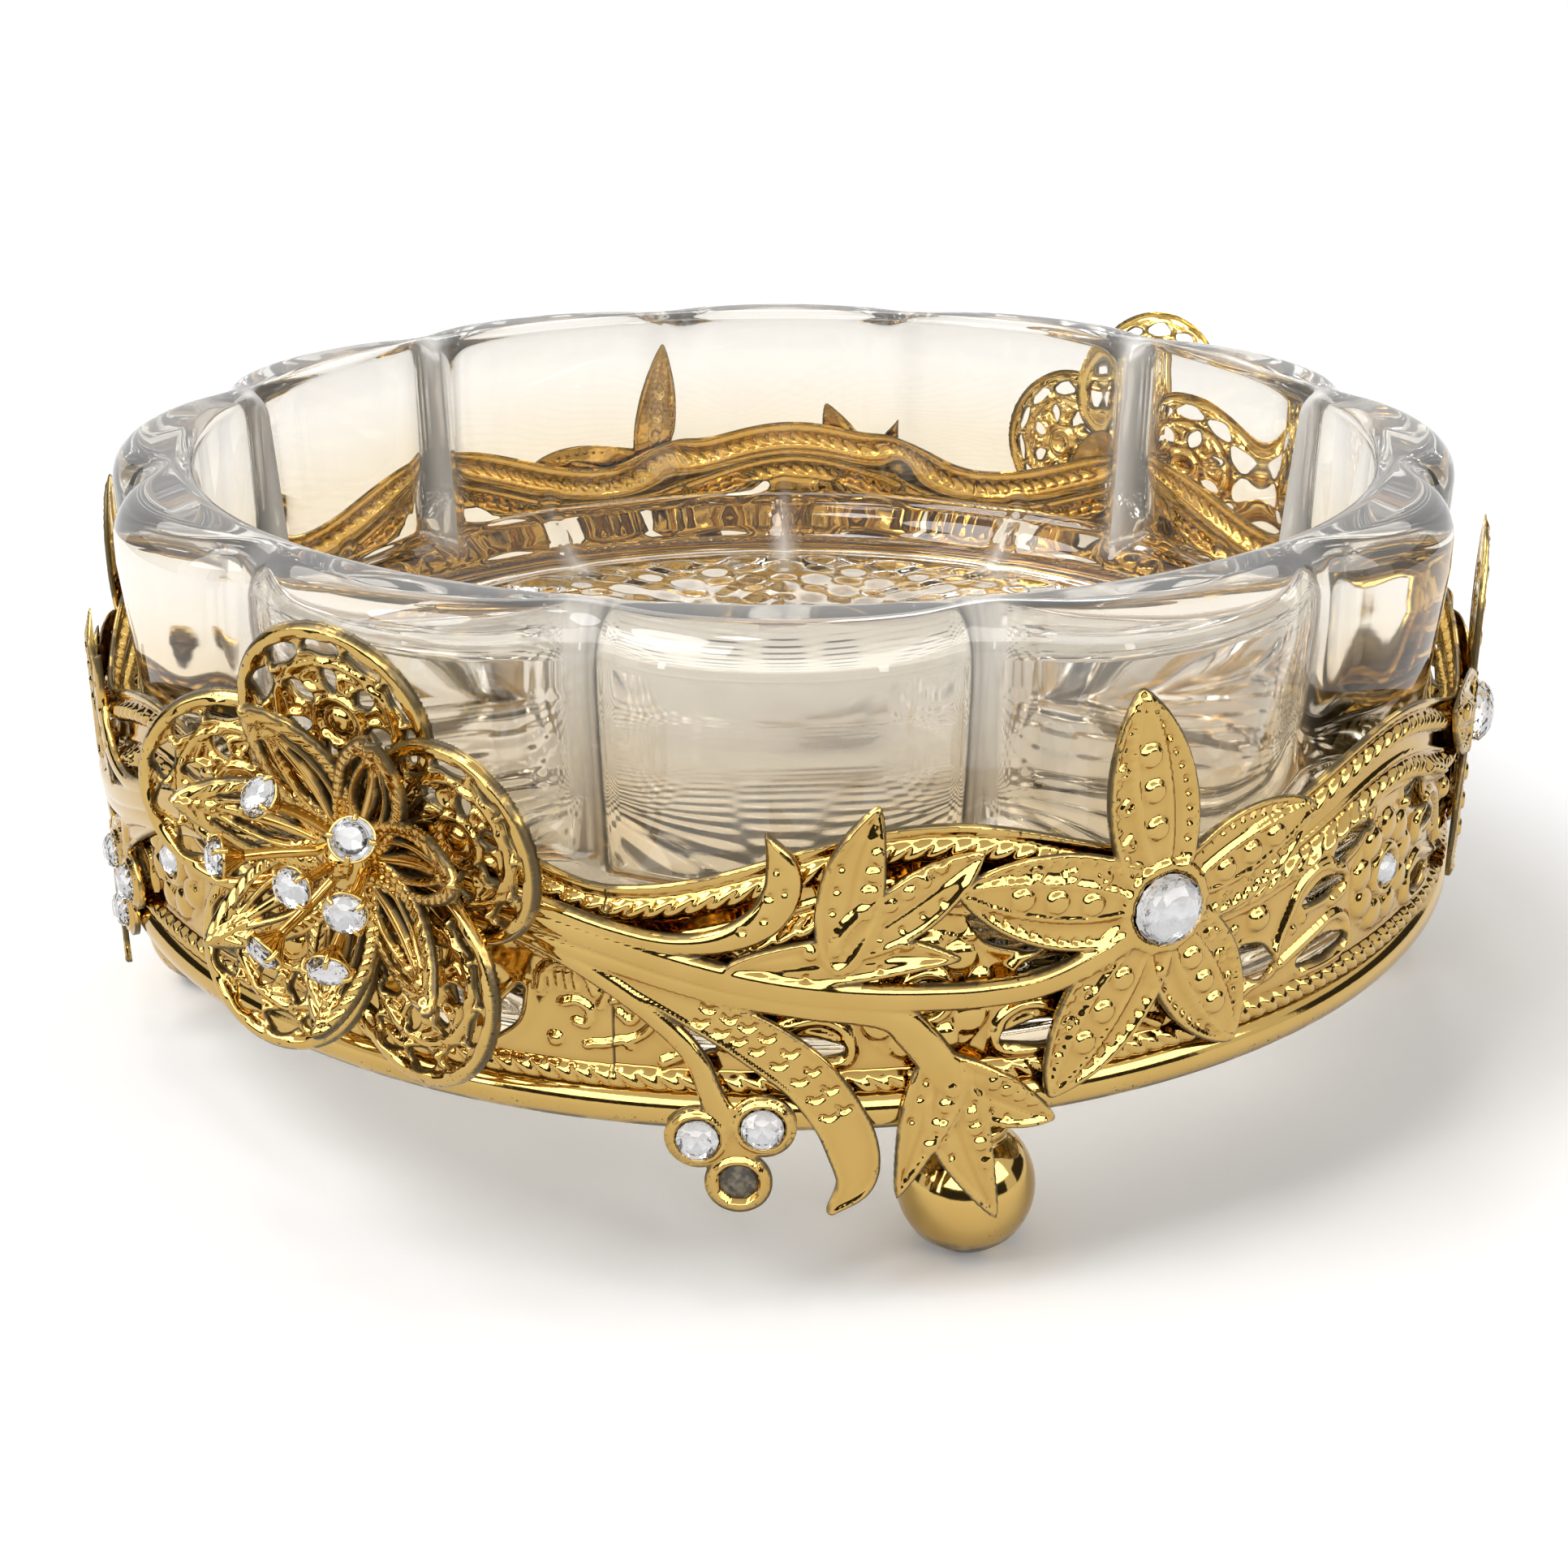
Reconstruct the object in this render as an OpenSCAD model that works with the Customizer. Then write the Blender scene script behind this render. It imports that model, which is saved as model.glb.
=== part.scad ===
// Open round dish of thick pressed glass, standing loose in a gilt filigree holder on ball feet.
// Millimetres, +Z up. The origin is on the table, under the middle of the dish.
// Turns are in degrees round +Z from the front (-Y), positive to the right (+X).

/* [Glass dish] */
// Outside diameter of the glass over its lobes
glass_d = 130; // [116:1:144]
// Height of the glass from its foot to the top of the rim
glass_h = 38.5; // [35:0.5:44]
// Thickness of the glass across the top of the rim
rim_wall = 10; // [8:0.5:12]
// Rounding of the rim's outer edge
rim_round = 4; // [2:0.25:4]
// Thickness of the glass floor
floor_t = 11; // [8:0.5:13]
// Rounding between the inner wall and the floor
floor_cove = 5; // [3:0.5:6]
// Number of lobes round the outside of the glass
lobe_count = 12; // [9:3:15]
// Depth of the groove between two lobes
groove_depth = 3.6; // [2:0.1:4.5]
// Radius of the groove between two lobes
groove_r = 6.5; // [5:0.5:8]
// Height of the grooves' lower ends above the foot
groove_up = 21; // [16:0.5:24]
// Width of the ribs inside
rib_w = 3.4; // [2.5:0.1:5]
// Depth of the bays between the ribs
bay_sink = 1.6; // [0.8:0.1:2]
// Height of plain glass above a bay
bay_top_margin = 1; // [0.5:0.25:4]
// Depth of the hollow under the glass
underside_sink = 2; // [1:0.25:3]
// Width of the foot rim that the glass stands on
foot_rim_w = 5; // [3:0.5:6]

/* [Holder ring] */
// Thickness of the round rail that shows below the gallery
rail_d = 3.8; // [3:0.1:5]
// How far the rail stands out past the glass
rail_proud = 1.4; // [1.2:0.1:2.5]
// Height of the rail's middle above the table
rail_z = 16.7; // [15:0.1:19]
// Play between the foot of the glass and the rail
glass_play = 0.6; // [0.4:0.1:1]
// Width of the ledge that carries the glass
ledge_w = 8.4; // [7.5:0.1:11]
// Thickness of the ledge
ledge_t = 1.6; // [1.2:0.1:2.5]

/* [Feet] */
// Diameter of a ball foot
ball_d = 11.6; // [9:0.1:13]
// Diameter of the neck above a ball
neck_d = 5.6; // [5:0.1:6.5]
// Diameter of the small flat that a ball stands on
ball_flat_d = 3.4; // [2:0.1:5]
// Diameter of the countersunk foot screws
screw_d = 2.4; // [2:0.1:2.6]
// Diameter of a foot screw's head
screw_head_d = 4.4; // [3.8:0.1:4.8]
// Length of a foot screw below its head
screw_len = 7; // [5:0.5:9]
// Gap round the screws in their holes
screw_play = 0.05; // [0.02:0.01:0.1]
// Turn from the start of a spray to the foot behind its leaves
foot_turn = 44.3; // [38:0.1:50]

/* [Gallery] */
// Thickness of the pierced gallery sheet
gallery_t = 0.7; // [0.5:0.05:1]
// How far the gallery stands back from the face of the rail
gallery_setback = 0.8; // [0.75:0.05:1]
// Height of the raised rope lines on the gallery
rope_proud = 0.5; // [0.3:0.05:0.6]
// Width of a rope line
rope_w = 1.7; // [1.2:0.1:2.2]
// Height of the gallery's crests above the rail's middle
crest_up = 23.9; // [22:0.1:27]
// Height of the gallery's dips above the rail's middle
dip_up = 18.8; // [17:0.1:20]
// How far the inner rope line runs below the edge
inner_rope_drop = 5.2; // [4.4:0.1:5.6]
// Turn of one gallery panel
panel_pitch = 42.35; // [41:0.05:44]
// Number of full gallery panels
gallery_panels = 8; // [7:1:8]
// Turn of the first panel's crest
first_crest = 9.5; // [5:0.5:14]
// Diameter of the rosette in each panel
rosette_d = 11; // [8:0.1:11.4]
// Height of the rosettes above the rail's middle
rosette_up = 9.6; // [9.4:0.1:10]
// Diameter of the small stone in a rosette
rosette_stone_d = 2.8; // [2:0.1:3.4]

/* [Sprays] */
// Thickness of the stamped spray sheet
spray_t = 0.9; // [0.7:0.05:1.2]
// Gap between the rail and the back of a spray
spray_play = 0.05; // [0.05:0.01:0.1]
// Turn from the front of the dish to the first filigree flower
filigree_turn = -29.7; // [-34:0.1:-26]
// Turn from the first set of ornaments to the second set
second_set_turn = 169.4; // [166:0.1:180]
// Turn by which the left-hand sprays start further away
left_start = 7.9; // [6:0.1:10]
// Height by which the left-hand berry clusters sit higher
left_berry_rise = 6; // [0:0.5:7]
// Length of a leaf flower's upright petal
petal_len = 18.5; // [15:0.5:19]
// Width of a leaf-flower petal
petal_w = 8; // [6:0.1:8.5]
// Diameter of the bezel in the middle of a leaf flower
bezel_d = 7.4; // [6.8:0.1:8]
// Diameter of the stone in a leaf flower
flower_stone_d = 5.8; // [4.5:0.1:6]
// Diameter of a berry cup
berry_cup_d = 5.4; // [4.8:0.1:6]
// Diameter of a berry stone
berry_stone_d = 3.3; // [2.8:0.1:3.6]
// Width of the sheet that shows round a bezel
bezel_lip = 0.3; // [0.2:0.05:0.4]
// Play between a stone and its bezel, across the stone
stone_play = 0.2; // [0.1:0.05:0.3]
// Height of a bezel above the sheet
bezel_proud = 0.7; // [0.5:0.1:1]
// Diameter of the solder posts behind a spray
post_d = 1.6; // [1.2:0.1:2]

/* [Filigree flowers] */
// Distance of a filigree flower's middle from the start of its spray
filigree_along = 1; // [0:0.1:2]
// Height of a filigree flower's middle above the rail's middle
filigree_up = 19.6; // [18:0.1:22]
// Radius of the outer petals' tips
outer_petal_r = 19.5; // [17:0.5:20.5]
// Width of one outer petal
outer_petal_w = 17; // [15:0.5:18]
// Radius of the bowl that the outer petals follow
outer_bowl_r = 60; // [45:1:80]
// Radius of the inner petals' tips
inner_petal_r = 14; // [11:0.5:14.5]
// Width of one inner petal
inner_petal_w = 6.8; // [6:0.2:8]
// Radius of the bowl that the inner petals follow
inner_bowl_r = 22; // [18:0.5:26]
// Thickness of the filigree sheet
filigree_t = 0.6; // [0.4:0.05:0.8]
// Diameter of the flat hub of a petal sheet
hub_d = 6; // [5:0.2:7]
// Thickness of the outer hub
hub_t = 1; // [0.8:0.1:1.4]
// Thickness of a stamen wire
stamen_wire_d = 0.9; // [0.7:0.05:1.2]
// Height of the stamen cups above the sprays
stamen_up = 8.2; // [7:0.1:10]
// Diameter of a stamen cup
stamen_cup_d = 3.6; // [3.4:0.1:4.2]
// Diameter of a stamen stone
stamen_stone_d = 3.3; // [2.6:0.1:3.4]
// Diameter of the collar that carries the stamen wires
collar_d = 4.8; // [4.6:0.1:5.4]
// Diameter of the rivet through a flower
rivet_d = 2; // [1.6:0.1:2.2]
// Diameter of the rivet's head
rivet_head_d = 3; // [2.6:0.1:3.2]
// Gap round the rivet
rivet_play = 0.05; // [0.02:0.01:0.1]

/* [Hidden] */
$fn = 96;
HANDS = ["front_right", "front_left", "back_right", "back_left"];

gold = "goldenrod";
crystal = "whitesmoke";
// Height that clears the whole object, for cutters
tall = 200;
// Small overrun of a cutter past the face that it opens
over = 0.5;

// Shares of a stone's diameter: its back and table across, its girdle and crown in height
stone_back = 0.94;
stone_table = 0.55;
stone_girdle = 0.12;
stone_crown = 0.2;

// Rail, ledge and glass: the ledge's top is a little above the rail's middle, and it runs into the rail
seat_rise = 0.3;
ledge_lap = 1;
rail_out_r = glass_d / 2 + rail_proud;
rail_mid_r = rail_out_r - rail_d / 2;
rail_in_r = rail_out_r - rail_d;
seat_z = rail_z + seat_rise;
glass_foot_r = rail_in_r - glass_play;
rim_z = seat_z + glass_h;
floor_z = seat_z + floor_t;
glass_r = glass_d / 2;
inner_r = glass_r - rim_wall;
// The rim is flat between its two roundings
rim_flat = 3;
rim_inner_round = rim_wall - rim_round - rim_flat;
// The wall is upright in a band below the rim, and leans in below that
rim_band = 2;
lean_z = rim_z - rim_round - rim_band;
wall_lean = atan((glass_r - glass_foot_r) / (lean_z - seat_z));
inner_lean = 1.5;
// Inside there are three flat bays, each as wide as a lobe, with a round bay between every two
bay_pairs = 3;
flat_bay_half_w = inner_r * sin(180 / lobe_count) - rib_w / 2;
round_bay_turn = 360 / bay_pairs - 360 / lobe_count - 2 * asin(rib_w / 2 / inner_r);
bay_r = inner_r + bay_sink;
bay_from_r = inner_r * cos(180 / lobe_count) - inner_lean;
// A bay ends within the rounding at the floor
bay_foot_up = 4;
bay_foot_z = floor_z + bay_foot_up;
bay_top_z = rim_z - bay_top_margin;
groove_z = seat_z + groove_up;
// Radius of the wall's outside where the grooves end
groove_wall_r = glass_foot_r + groove_up * tan(wall_lean);
// Steps along a round corner
arc_steps = 6;

// Feet: they stand under the middle of the ledge, and their screw heads are sunk in it
foot_ring_r = rail_in_r + ledge_lap - ledge_w / 2;
screw_sink = 0.1;
screw_top_z = seat_z - screw_sink;
screw_cone_t = (screw_head_d - screw_d) / 2;

// Gallery: it stands on a flat along the top of the rail
rail_flat_up = 1.5;
gallery_z = rail_z + rail_flat_up;
gallery_out_r = rail_out_r - gallery_setback;
gallery_in_r = gallery_out_r - gallery_t;
rope_out_r = gallery_out_r + rope_proud;
filler_turn = 360 - gallery_panels * panel_pitch;
filler_mid = first_crest - panel_pitch / 2 - filler_turn / 2;
rosette_proud = 0.1;
rosette_out_r = rope_out_r + rosette_proud;
// Share of a full crest that the filler's edge rises
filler_rise = 0.7;
// The drawings run a little past the ends of a stretch, which cuts them
past_end = 1.02;
// The openings on one side of a panel: root, tip, width
piercings = [
    [[3.6, 15.8], [8.8, 12.4], 2],
    [[7.8, 10.8], [12.4, 10.6], 1.8],
    [[6.4, 5.4], [12.8, 5.2], 2],
    [[16, 5.8], [19.8, 8], 3]
];
// Steps along half a wave of the gallery's edge
wave_steps = 10;

// Sprays
spray_in_r = rail_out_r + spray_play;
spray_out_r = spray_in_r + spray_t;
// The rosettes' stones are let into them, so that they stay behind the sprays
rosette_seat_r = spray_in_r - spray_play - rosette_stone_d * (stone_girdle + stone_crown);
// Each spray is drawn about its middle, within this turn
spray_mid = 40;
spray_width = 120;
hand_turn = [
    filigree_turn,
    filigree_turn - left_start,
    filigree_turn + second_set_turn,
    filigree_turn - left_start + second_set_turn
];
hand_side = [1, -1, 1, -1];
// Gaps narrower than twice this close up where leaves and stems meet
crevice = 0.15;
leaf_steps = 7;
curve_steps = 3;
disc_step = 20;

filigree_at = [filigree_along, filigree_up];

// Places on a spray: along the wall from the filigree flower, and up from the rail's middle
flower_at = [64.8, 15.1];
// Each petal: its direction, and its length as a share of the upright one's
petals = [[99.5, 1], [168, 0.96], [238, 0.95], [300, 0.86], [378.5, 0.88]];
main_stem = [[0, 19.9], [8, 18], [16.3, 15.9], [29.4, 11.8], [42.9, 9.9], [55.8, 10.1], [64.8, 15.1]];
hook_leaf = [[12, 17.6], [23, 15.2], [30, 15.4], [34.4, 18.6], [33.5, 24]];
leaf_stem = [[28, 11.8], [33.5, 12.8], [38, 15.4]];
berry_stem = [[14, 15], [19, 12.8], [24.4, 9.4], [28.6, 2.6], [30, -1]];
scroll_leaf = [
    [15, 14.6], [20, 12.4], [26.3, 9.6], [32.2, 6.8], [36.6, 3], [39.4, -2.4], [39.8, -6], [37.8, -8.2]
];
foot_stem = [[36, 10.6], [41, 9.2], [44.4, 7.4], [48, 2.4]];
// Each stem: its run, its width at the start and at the end
stems = [
    [main_stem, 5, 2.6],
    [hook_leaf, 3.4, 1.4],
    [leaf_stem, 2, 1.8],
    [scroll_leaf, 2.4, 4.6],
    [foot_stem, 3, 2]
];
berry_stem_w = [3, 1.8];
// On a left-hand spray the berry stem starts to rise at the first height and is all raised at the second
rise_from = 14;
rise_full = 4;
// Each leaf: root, tip, width
leaves = [
    [[37.6, 14.6], [41.6, 26], 5.6],
    [[38.6, 15.2], [49.3, 21.6], 4.8],
    [[35.6, 13.2], [48.2, 13.6], 4.2],
    [[47.2, 3.6], [43.1, -7.2], 4.8],
    [[47.6, 3], [51.5, -10.1], 5],
    [[46.8, 4], [56, -1.6], 4.8]
];
berry_places = [[27.8, -1.6], [32.8, -0.5], [30.9, -5.5]];
// The front right-hand spray has lost the stone of its lowest cup
lost_stone = 2;
// Solder posts land on the rope line at the foot of the gallery
post_up = 2.4;
post_places = [34.9, 47.8, 58];

// Filigree flowers, in their own frame: +Z outward from the face of the sprays
// Height of a bowl's mouth, as a share of its radius
bowl_depth = 0.8;
// Openings in an outer petal, in shares of its width: where the three round its middle start and end,
// how wide those are, how far out the two at its root end, and how wide those are
outer_opening_turn = 60;
outer_opening = [0.12, 0.42, 0.17];
root_opening = [0.24, 0.12];
root_opening_from = 0.6;
// Slots in an inner petal: how far out they start and end, how far apart they are there, and their width
inner_slot_from = [3.6, 0.8];
inner_slot_to = 0.86;
inner_slot_spread = 1.1;
inner_slot_w = 0.2;
outer_petals = 5;
inner_petals = 7;
first_outer = 90;
first_inner = 10;
inner_up = hub_t;
// The collar's edge rests on the inner bowl
collar_up = inner_up + filigree_t + inner_bowl_r - sqrt(pow(inner_bowl_r, 2) - pow(collar_d / 2, 2));
collar_t = 1.2;
// The wires start in the collar, round the rivet's head
wire_foot_r = (collar_d + rivet_head_d) / 4 + stamen_wire_d / 4;
wire_foot_up = collar_up + collar_t / 2;
rivet_head_t = 0.8;
seat_disc_d = 15;
stamen_places = [[-2.4, 6.7], [5.9, 5.1], [-6.9, 0.9], [4.8, -1], [-3.3, -5.9], [2.7, -6]];
cup_t = 1.2;

function clear_of(list, skip) = [for (i = [0:len(list) - 1]) if (i != skip) list[i]];

// Outline of a pointed leaf from its root to its tip
function leaf_outline(root, tip, w) =
    let (along = tip - root, across = [-along.y, along.x] / norm(along))
    concat(
        [for (i = [0:leaf_steps]) root + along * i / leaf_steps + across * w / 2 * sin(180 * i / leaf_steps)],
        [for (i = [leaf_steps - 1:-1:1])
            root + along * i / leaf_steps - across * w / 2 * sin(180 * i / leaf_steps)]
    );

function petal_tip(petal) = flower_at + petal_len * petal[1] * [cos(petal[0]), sin(petal[0])];

// Outline of a round disc
function disc_outline(mid, d) = [for (a = [0:disc_step:359]) mid + d / 2 * [cos(a), sin(a)]];

// A smooth curve through a list of points
function between(a, b, c, d, t) =
    b + (c - a) * t / 2
    + (a - b * 2.5 + c * 2 - d / 2) * t * t
    + (b * 1.5 - a / 2 - c * 1.5 + d / 2) * t * t * t;
function curve(p) = concat(
    [for (i = [0:len(p) - 2]) for (j = [0:curve_steps - 1])
        between(p[max(i - 1, 0)], p[i], p[i + 1], p[min(i + 2, len(p) - 1)], j / curve_steps)],
    [p[len(p) - 1]]
);

// A band along a smooth curve, from one width to another
function band(p, w_start, w_end) =
    let (
        c = curve(p),
        n = len(c) - 1,
        side = [for (i = [0:n])
            let (d = c[min(i + 1, n)] - c[max(i - 1, 0)])
            [-d.y, d.x] / norm(d) * (w_start + (w_end - w_start) * i / n) / 2]
    )
    concat([for (i = [0:n]) c[i] + side[i]], [for (i = [n:-1:0]) c[i] - side[i]]);

// Places along the wall, as they look along the middle of the piece
function seen(u, r) = r * sin(u / r * 180 / PI);
function on_spray(points) = [for (p = points) [seen(p.x - spray_mid, spray_in_r), p.y + rail_z]];
function on_gallery(points) = [for (p = points) [seen(p.x, gallery_in_r), p.y + rail_z]];

// Height of the gallery's edge, a panel being half_turn to each side
function edge_up(a, half_turn, rise) =
    dip_up + rise * (crest_up - dip_up) * (1 + cos(180 * a / half_turn)) / 2;

// Turns a drawing to stand on the wall: x to the right, y up, z outward
module on_wall(turn) {
    rotate([0, 0, turn])
        rotate([90, 0, 0])
            children();
}

// The stretch of a round wall between two turns
module wall(r_in, r_out, turn, width) {
    rotate([0, 0, turn - 90 - width / 2])
        rotate_extrude(angle = width)
            translate([r_in, 0])
                square([r_out - r_in, tall]);
}

// A flat drawing cut out of a round wall
module stamped(r_in, r_out, turn, width) {
    intersection() {
        wall(r_in, r_out, turn, width);
        on_wall(turn)
            linear_extrude(r_out + over)
                children();
    }
}

// A round stone with a flat table, its girdle resting at z = 0
module stone(d) {
    cylinder(d1 = d * stone_back, d2 = d, h = d * stone_girdle);
    translate([0, 0, d * stone_girdle])
        cylinder(d1 = d, d2 = d * stone_table, h = d * stone_crown);
}

// Points along a round corner, from one direction to another
function arc(mid, r, from, to) =
    [for (i = [0:arc_steps]) let (a = from + (to - from) * i / arc_steps) mid + r * [cos(a), sin(a)]];

// Half the section of the glass, without its grooves and bays
module glass_profile() {
    cove_r = inner_r - inner_lean - floor_cove;
    polygon(concat(
        [[0, seat_z + underside_sink], [glass_foot_r - foot_rim_w, seat_z + underside_sink]],
        [[glass_foot_r - foot_rim_w, seat_z], [glass_foot_r, seat_z], [glass_r, lean_z]],
        arc([glass_r - rim_round, rim_z - rim_round], rim_round, 0, 90),
        arc([inner_r + rim_inner_round, rim_z - rim_inner_round], rim_inner_round, 90, 180),
        arc([cove_r, floor_z + floor_cove], floor_cove, 0, -90),
        [[0, floor_z]]
    ));
}

module flat_bay() {
    translate([-flat_bay_half_w, bay_foot_z, bay_from_r])
        cube([2 * flat_bay_half_w, bay_top_z - bay_foot_z, bay_r - bay_from_r]);
}

module round_bay() {
    rotate([0, 0, -90 - round_bay_turn / 2])
        rotate_extrude(angle = round_bay_turn)
            translate([bay_from_r, bay_foot_z])
                square([bay_r - bay_from_r, bay_top_z - bay_foot_z]);
}

// The groove between two lobes, open at the rim, with a round lower end
module lobe_groove() {
    translate([0, -(groove_wall_r - groove_depth + groove_r), groove_z])
        rotate([wall_lean, 0, 0]) {
            sphere(r = groove_r);
            cylinder(r = groove_r, h = glass_h);
        }
}

module glass_dish() {
    color("lightcyan", 0.5)
        difference() {
            rotate_extrude()
                glass_profile();
            for (i = [0:bay_pairs - 1]) {
                on_wall(i * 360 / bay_pairs)
                    flat_bay();
                rotate([0, 0, (i + 0.5) * 360 / bay_pairs])
                    round_bay();
            }
            for (i = [0:lobe_count - 1])
                rotate([0, 0, (i + 0.5) * 360 / lobe_count])
                    lobe_groove();
        }
}

module at_feet() {
    for (i = [0:3])
        at_foot(i)
            children();
}

module at_foot(i) {
    rotate([0, 0, hand_turn[i] + hand_side[i] * foot_turn])
        translate([0, -foot_ring_r, 0])
            children();
}

module base_ring() {
    color(gold)
        difference() {
            rotate_extrude() {
                intersection() {
                    translate([rail_mid_r, rail_z])
                        circle(d = rail_d);
                    square([tall, gallery_z]);
                }
                translate([rail_in_r + ledge_lap - ledge_w, seat_z - ledge_t])
                    square([ledge_w, ledge_t]);
            }
            at_feet() {
                cylinder(d = screw_d + 2 * screw_play, h = tall);
                translate([0, 0, screw_top_z - screw_cone_t])
                    cylinder(d1 = screw_d, d2 = screw_head_d, h = screw_cone_t);
                translate([0, 0, screw_top_z])
                    cylinder(d = screw_head_d, h = over);
            }
        }
}

module ball_foot(i) {
    ball_r = ball_d / 2;
    flat_drop = ball_r - sqrt(ball_r * ball_r - ball_flat_d * ball_flat_d / 4);
    color(gold)
        at_foot(i)
            difference() {
                union() {
                    translate([0, 0, ball_r - flat_drop])
                        sphere(d = ball_d);
                    translate([0, 0, ball_r])
                        cylinder(d = neck_d, h = seat_z - ledge_t - ball_r);
                }
                translate([0, 0, -ball_d])
                    cylinder(d = 2 * ball_d, h = ball_d);
                translate([0, 0, screw_top_z - screw_cone_t - screw_len - over])
                    cylinder(d = screw_d + 2 * screw_play, h = tall);
            }
}

module foot_screws() {
    color(gold)
        at_feet() {
            translate([0, 0, screw_top_z - screw_cone_t])
                cylinder(d1 = screw_d, d2 = screw_head_d, h = screw_cone_t);
            translate([0, 0, screw_top_z - screw_cone_t - screw_len])
                cylinder(d = screw_d, h = screw_len + over / 2);
        }
}

// One stretch of gallery sheet, with its wavy edge
module gallery_sheet(half_turn, rise) {
    steps = 2 * wave_steps;
    polygon(concat(
        [for (i = [0:steps])
            let (a = half_turn * past_end * (i / wave_steps - 1))
            [gallery_in_r * sin(a), rail_z + edge_up(a, half_turn, rise)]],
        [[gallery_in_r, gallery_z], [-gallery_in_r, gallery_z]]
    ));
}

module gallery_piercings() {
    for (side = [-1, 1])
        for (p = piercings)
            polygon(on_gallery([for (q = leaf_outline(p[0], p[1], p[2])) [side * q.x, q.y]]));
}

// The raised lines: along the edge, inside it and along the foot
module gallery_ropes(half_turn, rise) {
    steps = 2 * wave_steps;
    edge = [for (i = [0:steps])
        let (a = half_turn * past_end * (i / wave_steps - 1))
        [gallery_in_r * sin(a), rail_z + edge_up(a, half_turn, rise)]];
    for (drop = [0, inner_rope_drop])
        polygon(concat(
            [for (p = edge) p - [0, drop]],
            [for (i = [steps:-1:0]) edge[i] - [0, drop + rope_w]]
        ));
    translate([-gallery_in_r, gallery_z])
        square([2 * gallery_in_r, rope_w]);
}

module gallery_panel(i) {
    turn = first_crest + (i - 1) * panel_pitch;
    color(gold)
        difference() {
            union() {
                stamped(gallery_in_r, gallery_out_r, turn, panel_pitch)
                    difference() {
                        gallery_sheet(panel_pitch / 2, 1);
                        gallery_piercings();
                    }
                stamped(gallery_in_r, rope_out_r, turn, panel_pitch)
                    gallery_ropes(panel_pitch / 2, 1);
                on_wall(turn)
                    translate([0, rail_z + rosette_up, gallery_in_r + gallery_t / 2])
                        cylinder(d = rosette_d, h = rosette_out_r - gallery_in_r - gallery_t / 2);
            }
            on_wall(turn)
                translate([0, rail_z + rosette_up, rosette_seat_r])
                    cylinder(d = rosette_stone_d + stone_play, h = tall);
        }
}

// The strip's pattern doesn't close: a half-width piece fills in behind the front flower
module gallery_filler() {
    color(gold) {
        stamped(gallery_in_r, gallery_out_r, filler_mid, filler_turn)
            gallery_sheet(filler_turn / 2, filler_rise);
        stamped(gallery_in_r, rope_out_r, filler_mid, filler_turn)
            gallery_ropes(filler_turn / 2, filler_rise);
    }
}

module rosette_stones() {
    color(crystal)
        for (i = [0:gallery_panels - 1])
            on_wall(first_crest + i * panel_pitch)
                translate([0, rail_z + rosette_up, rosette_seat_r])
                    stone(rosette_stone_d);
}

// The berry stem and cups sit higher on a left-hand spray
function raised(points, rise) =
    [for (p = points) p + [0, rise * min(1, max(0, (rise_from - p.y) / (rise_from - rise_full)))]];

// The flat drawing of a right-hand spray; a seat for the filigree flower goes on its start
module spray_outline(rise, seat) {
    offset(delta = -crevice)
        offset(delta = crevice) {
            for (stem = stems)
                polygon(on_spray(band(stem[0], stem[1], stem[2])));
            polygon(on_spray(raised(band(berry_stem, berry_stem_w[0], berry_stem_w[1]), rise)));
            for (leaf = leaves)
                polygon(on_spray(leaf_outline(leaf[0], leaf[1], leaf[2])));
            for (petal = petals)
                polygon(on_spray(leaf_outline(flower_at, petal_tip(petal), petal_w)));
            polygon(on_spray(disc_outline(flower_at, bezel_d + 2 * bezel_lip)));
            for (p = raised(berry_places, rise))
                polygon(on_spray(disc_outline(p, berry_cup_d)));
            if (seat)
                polygon(on_spray(disc_outline(filigree_at, seat_disc_d)));
        }
}

// Turns a piece to a place on a spray, with its back on the sheet
module on_sheet(hand, place) {
    on_wall(hand_turn[hand] + hand_side[hand] * place.x / spray_in_r * 180 / PI)
        translate([0, rail_z + place.y, spray_out_r])
            children();
}

module ring_on_sheet(d_out, d_in) {
    translate([0, 0, -spray_t / 2])
        difference() {
            cylinder(d = d_out, h = spray_t / 2 + bezel_proud);
            translate([0, 0, spray_t / 2])
                cylinder(d = d_in, h = tall);
        }
}

function berries(hand) = raised(berry_places, hand_side[hand] > 0 ? 0 : left_berry_rise);

module spray(hand) {
    side = hand_side[hand];
    mid_turn = hand_turn[hand] + side * spray_mid / spray_in_r * 180 / PI;
    color(gold) {
        difference() {
            stamped(spray_in_r, spray_out_r, mid_turn, spray_width)
                if (side > 0)
                    spray_outline(0, true);
                else
                    mirror([1, 0])
                        spray_outline(left_berry_rise, false);
            if (side > 0)
                on_sheet(hand, filigree_at)
                    translate([0, 0, -spray_t - over])
                        cylinder(d = rivet_d + 2 * rivet_play, h = spray_t + 2 * over);
        }
        on_sheet(hand, flower_at)
            ring_on_sheet(bezel_d, flower_stone_d + stone_play);
        for (p = berries(hand))
            on_sheet(hand, p)
                ring_on_sheet(berry_cup_d - 2 * bezel_lip, berry_stone_d + stone_play);
        for (u = post_places)
            on_wall(hand_turn[hand] + side * u / spray_in_r * 180 / PI)
                translate([0, rail_z + post_up, rope_out_r])
                    cylinder(d = post_d, h = spray_in_r + spray_t / 2 - rope_out_r);
    }
}

module flower_stone(hand) {
    color(crystal)
        on_sheet(hand, flower_at)
            stone(flower_stone_d);
}

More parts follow.
